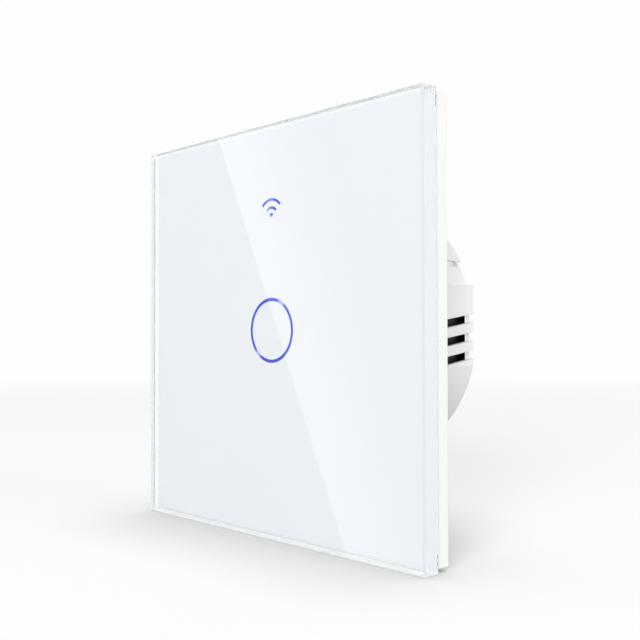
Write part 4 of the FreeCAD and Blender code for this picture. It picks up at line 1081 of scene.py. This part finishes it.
def crossOutline(mesh, spot, reach, wing, level):
    corner = wing * screwShape["recessCorner"]
    points = []
    for quarter in range(4):
        turn = math.pi / 2 * quarter
        for forward, aside in ((reach, -wing), (reach, wing), (corner, corner)):
            points.append(mesh.verts.new((spot[0] + forward * math.cos(turn) - aside * math.sin(turn), level,
                                          spot[1] + forward * math.sin(turn) + aside * math.cos(turn))))
    return points


def addPanHead(mesh, spot, look, seat, top):
    sides = screwShape["sides"]
    head, recess, wing, deep = [look[word] * mm for word in ("head", "recess", "wing", "recessDepth")]
    rings = [[pointOn(mesh, spot, head * wide, 2 * math.pi * i / sides, seat + (top - seat) * share)
              for i in range(sides)] for wide, share in screwShape["headProfile"]]
    crosses = [crossOutline(mesh, spot, recess * long, wing * wide, top - deep * share)
               for long, wide, share in screwShape["recessSteps"]]
    for outlines in (rings, crosses):
        for first, second in zip(outlines, outlines[1:]):
            bridge(mesh, first, second)
    mesh.faces.new(rings[0])
    mesh.faces.new(crosses[-1])
    # the flat between the rounded edge and the recess: two points of the ring for each point of the cross
    rim, outer = crosses[0], rings[-1]
    start = round(sides * math.atan2(-wing, recess) / (2 * math.pi))
    for i in range(len(rim)):
        near = [outer[(start + 2 * i + step) % sides] for step in range(3)]
        mesh.faces.new((rim[i], near[0], near[1]))
        mesh.faces.new((rim[i], near[1], near[2], rim[(i + 1) % len(rim)]))


def makeScrews(name, look):
    low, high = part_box(look["stands"])
    head = look["head"] * mm
    seat = high.y - look["headDepth"] * mm
    mesh = bmesh.new()
    for across, up in look["spread"]:
        spot = (across * (high.x - head), up * (high.z - head))
        addThread(mesh, spot, look, low.y, seat)
        addPanHead(mesh, spot, look, seat, high.y)
    bmesh.ops.remove_doubles(mesh, verts=mesh.verts, dist=screwShape["weld"] * mm)
    bmesh.ops.recalc_face_normals(mesh, faces=mesh.faces)
    steel = nodes[look["stands"]].data.materials[0]
    newPiece(name, mesh, (steel,), "wall_unit", [look["stands"]])


for name, look in screwSets.items():
    makeScrews(name, look)
print("screws, coil and sleeves made")


# Circuit boards: solder mask over woven laminate, with tracks that stand out under the mask

boardSet = {
    "mask": (0.012, 0.105, 0.045, 1),
    "maskShade": (0.008, 0.080, 0.035, 1),
    "track": (0.026, 0.175, 0.078, 1),
    "tin": (0.60, 0.61, 0.62, 1),
    "trackPitch": 1.27,  # mm
    "trackHalf": 0.20,  # of the pitch
    "trackEdge": 0.04,  # of the pitch
    "padHalf": 0.33,  # of the pitch
    "padEdge": 0.03,  # of the pitch
    "padShare": 0.90,  # cells above this have a tinned pad
    "gapShare": 0.16,  # cells below this have no track
    "runCells": 7,  # about how far tracks keep one direction
    "cloud": 6,  # mm
    "weave": 0.45,  # mm
    "weaveShare": 0.15,
    "relief": 0.035,  # mm
    "gloss": 0.28,
    "cloudGloss": 0.14,
    "ior": 1.52,
}


def boardFinish():
    material, t = newFinish("solderMask")
    where = coords(t)
    weave = noise(t, where, boardSet["weave"] * mm)
    clouds = noise(t, where, boardSet["cloud"] * mm, 3.0)
    # a grid of square cells, each with a stretch of track, a pad or nothing
    column, row = [part / (boardSet["trackPitch"] * mm) for part in axisParts(t, where, "XZ")]
    cell = t.node("ShaderNodeCombineXYZ", None, {0: t.maths("FLOOR", column), 1: t.maths("FLOOR", row)})
    pick = t.node("ShaderNodeTexWhiteNoise", {"noise_dimensions": "2D"}, {"Vector": cell})
    offColumn, offRow = [t.maths("ABSOLUTE", t.maths("FRACT", part) - 0.5) for part in (column, row)]
    upright = t.maths("GREATER_THAN", noise(t, cell, boardSet["runCells"]), 0.5)
    away = upright * offColumn + (1 - upright) * offRow
    track = between(t, away, boardSet["trackHalf"], boardSet["trackHalf"] + boardSet["trackEdge"], 1.0, 0.0)
    track = track * t.maths("GREATER_THAN", pick, boardSet["gapShare"])
    offPad = reachOf(offColumn, offRow)
    pad = between(t, offPad, boardSet["padHalf"] - boardSet["padEdge"], boardSet["padHalf"], 1.0, 0.0)
    pad = pad * t.maths("GREATER_THAN", pick, boardSet["padShare"])
    colour = blendColours(t, clouds, boardSet["mask"], boardSet["maskShade"])
    colour = blendColours(t, track, colour, boardSet["track"])
    relief = t.maths("MAXIMUM", track, pad) + weave * boardSet["weaveShare"]
    showSurface(t, principled(t, {
        "Base Color": blendColours(t, pad, colour, boardSet["tin"]),
        "Metallic": pad,
        "Roughness": boardSet["gloss"] + clouds * boardSet["cloudGloss"],
        "IOR": boardSet["ior"],
        "Normal": bump(t, relief, boardSet["relief"] * mm)}))
    return material


paint(boardFinish(), "touch_board", "power_board", "radio_board")
print("plastics, metals and boards finished")
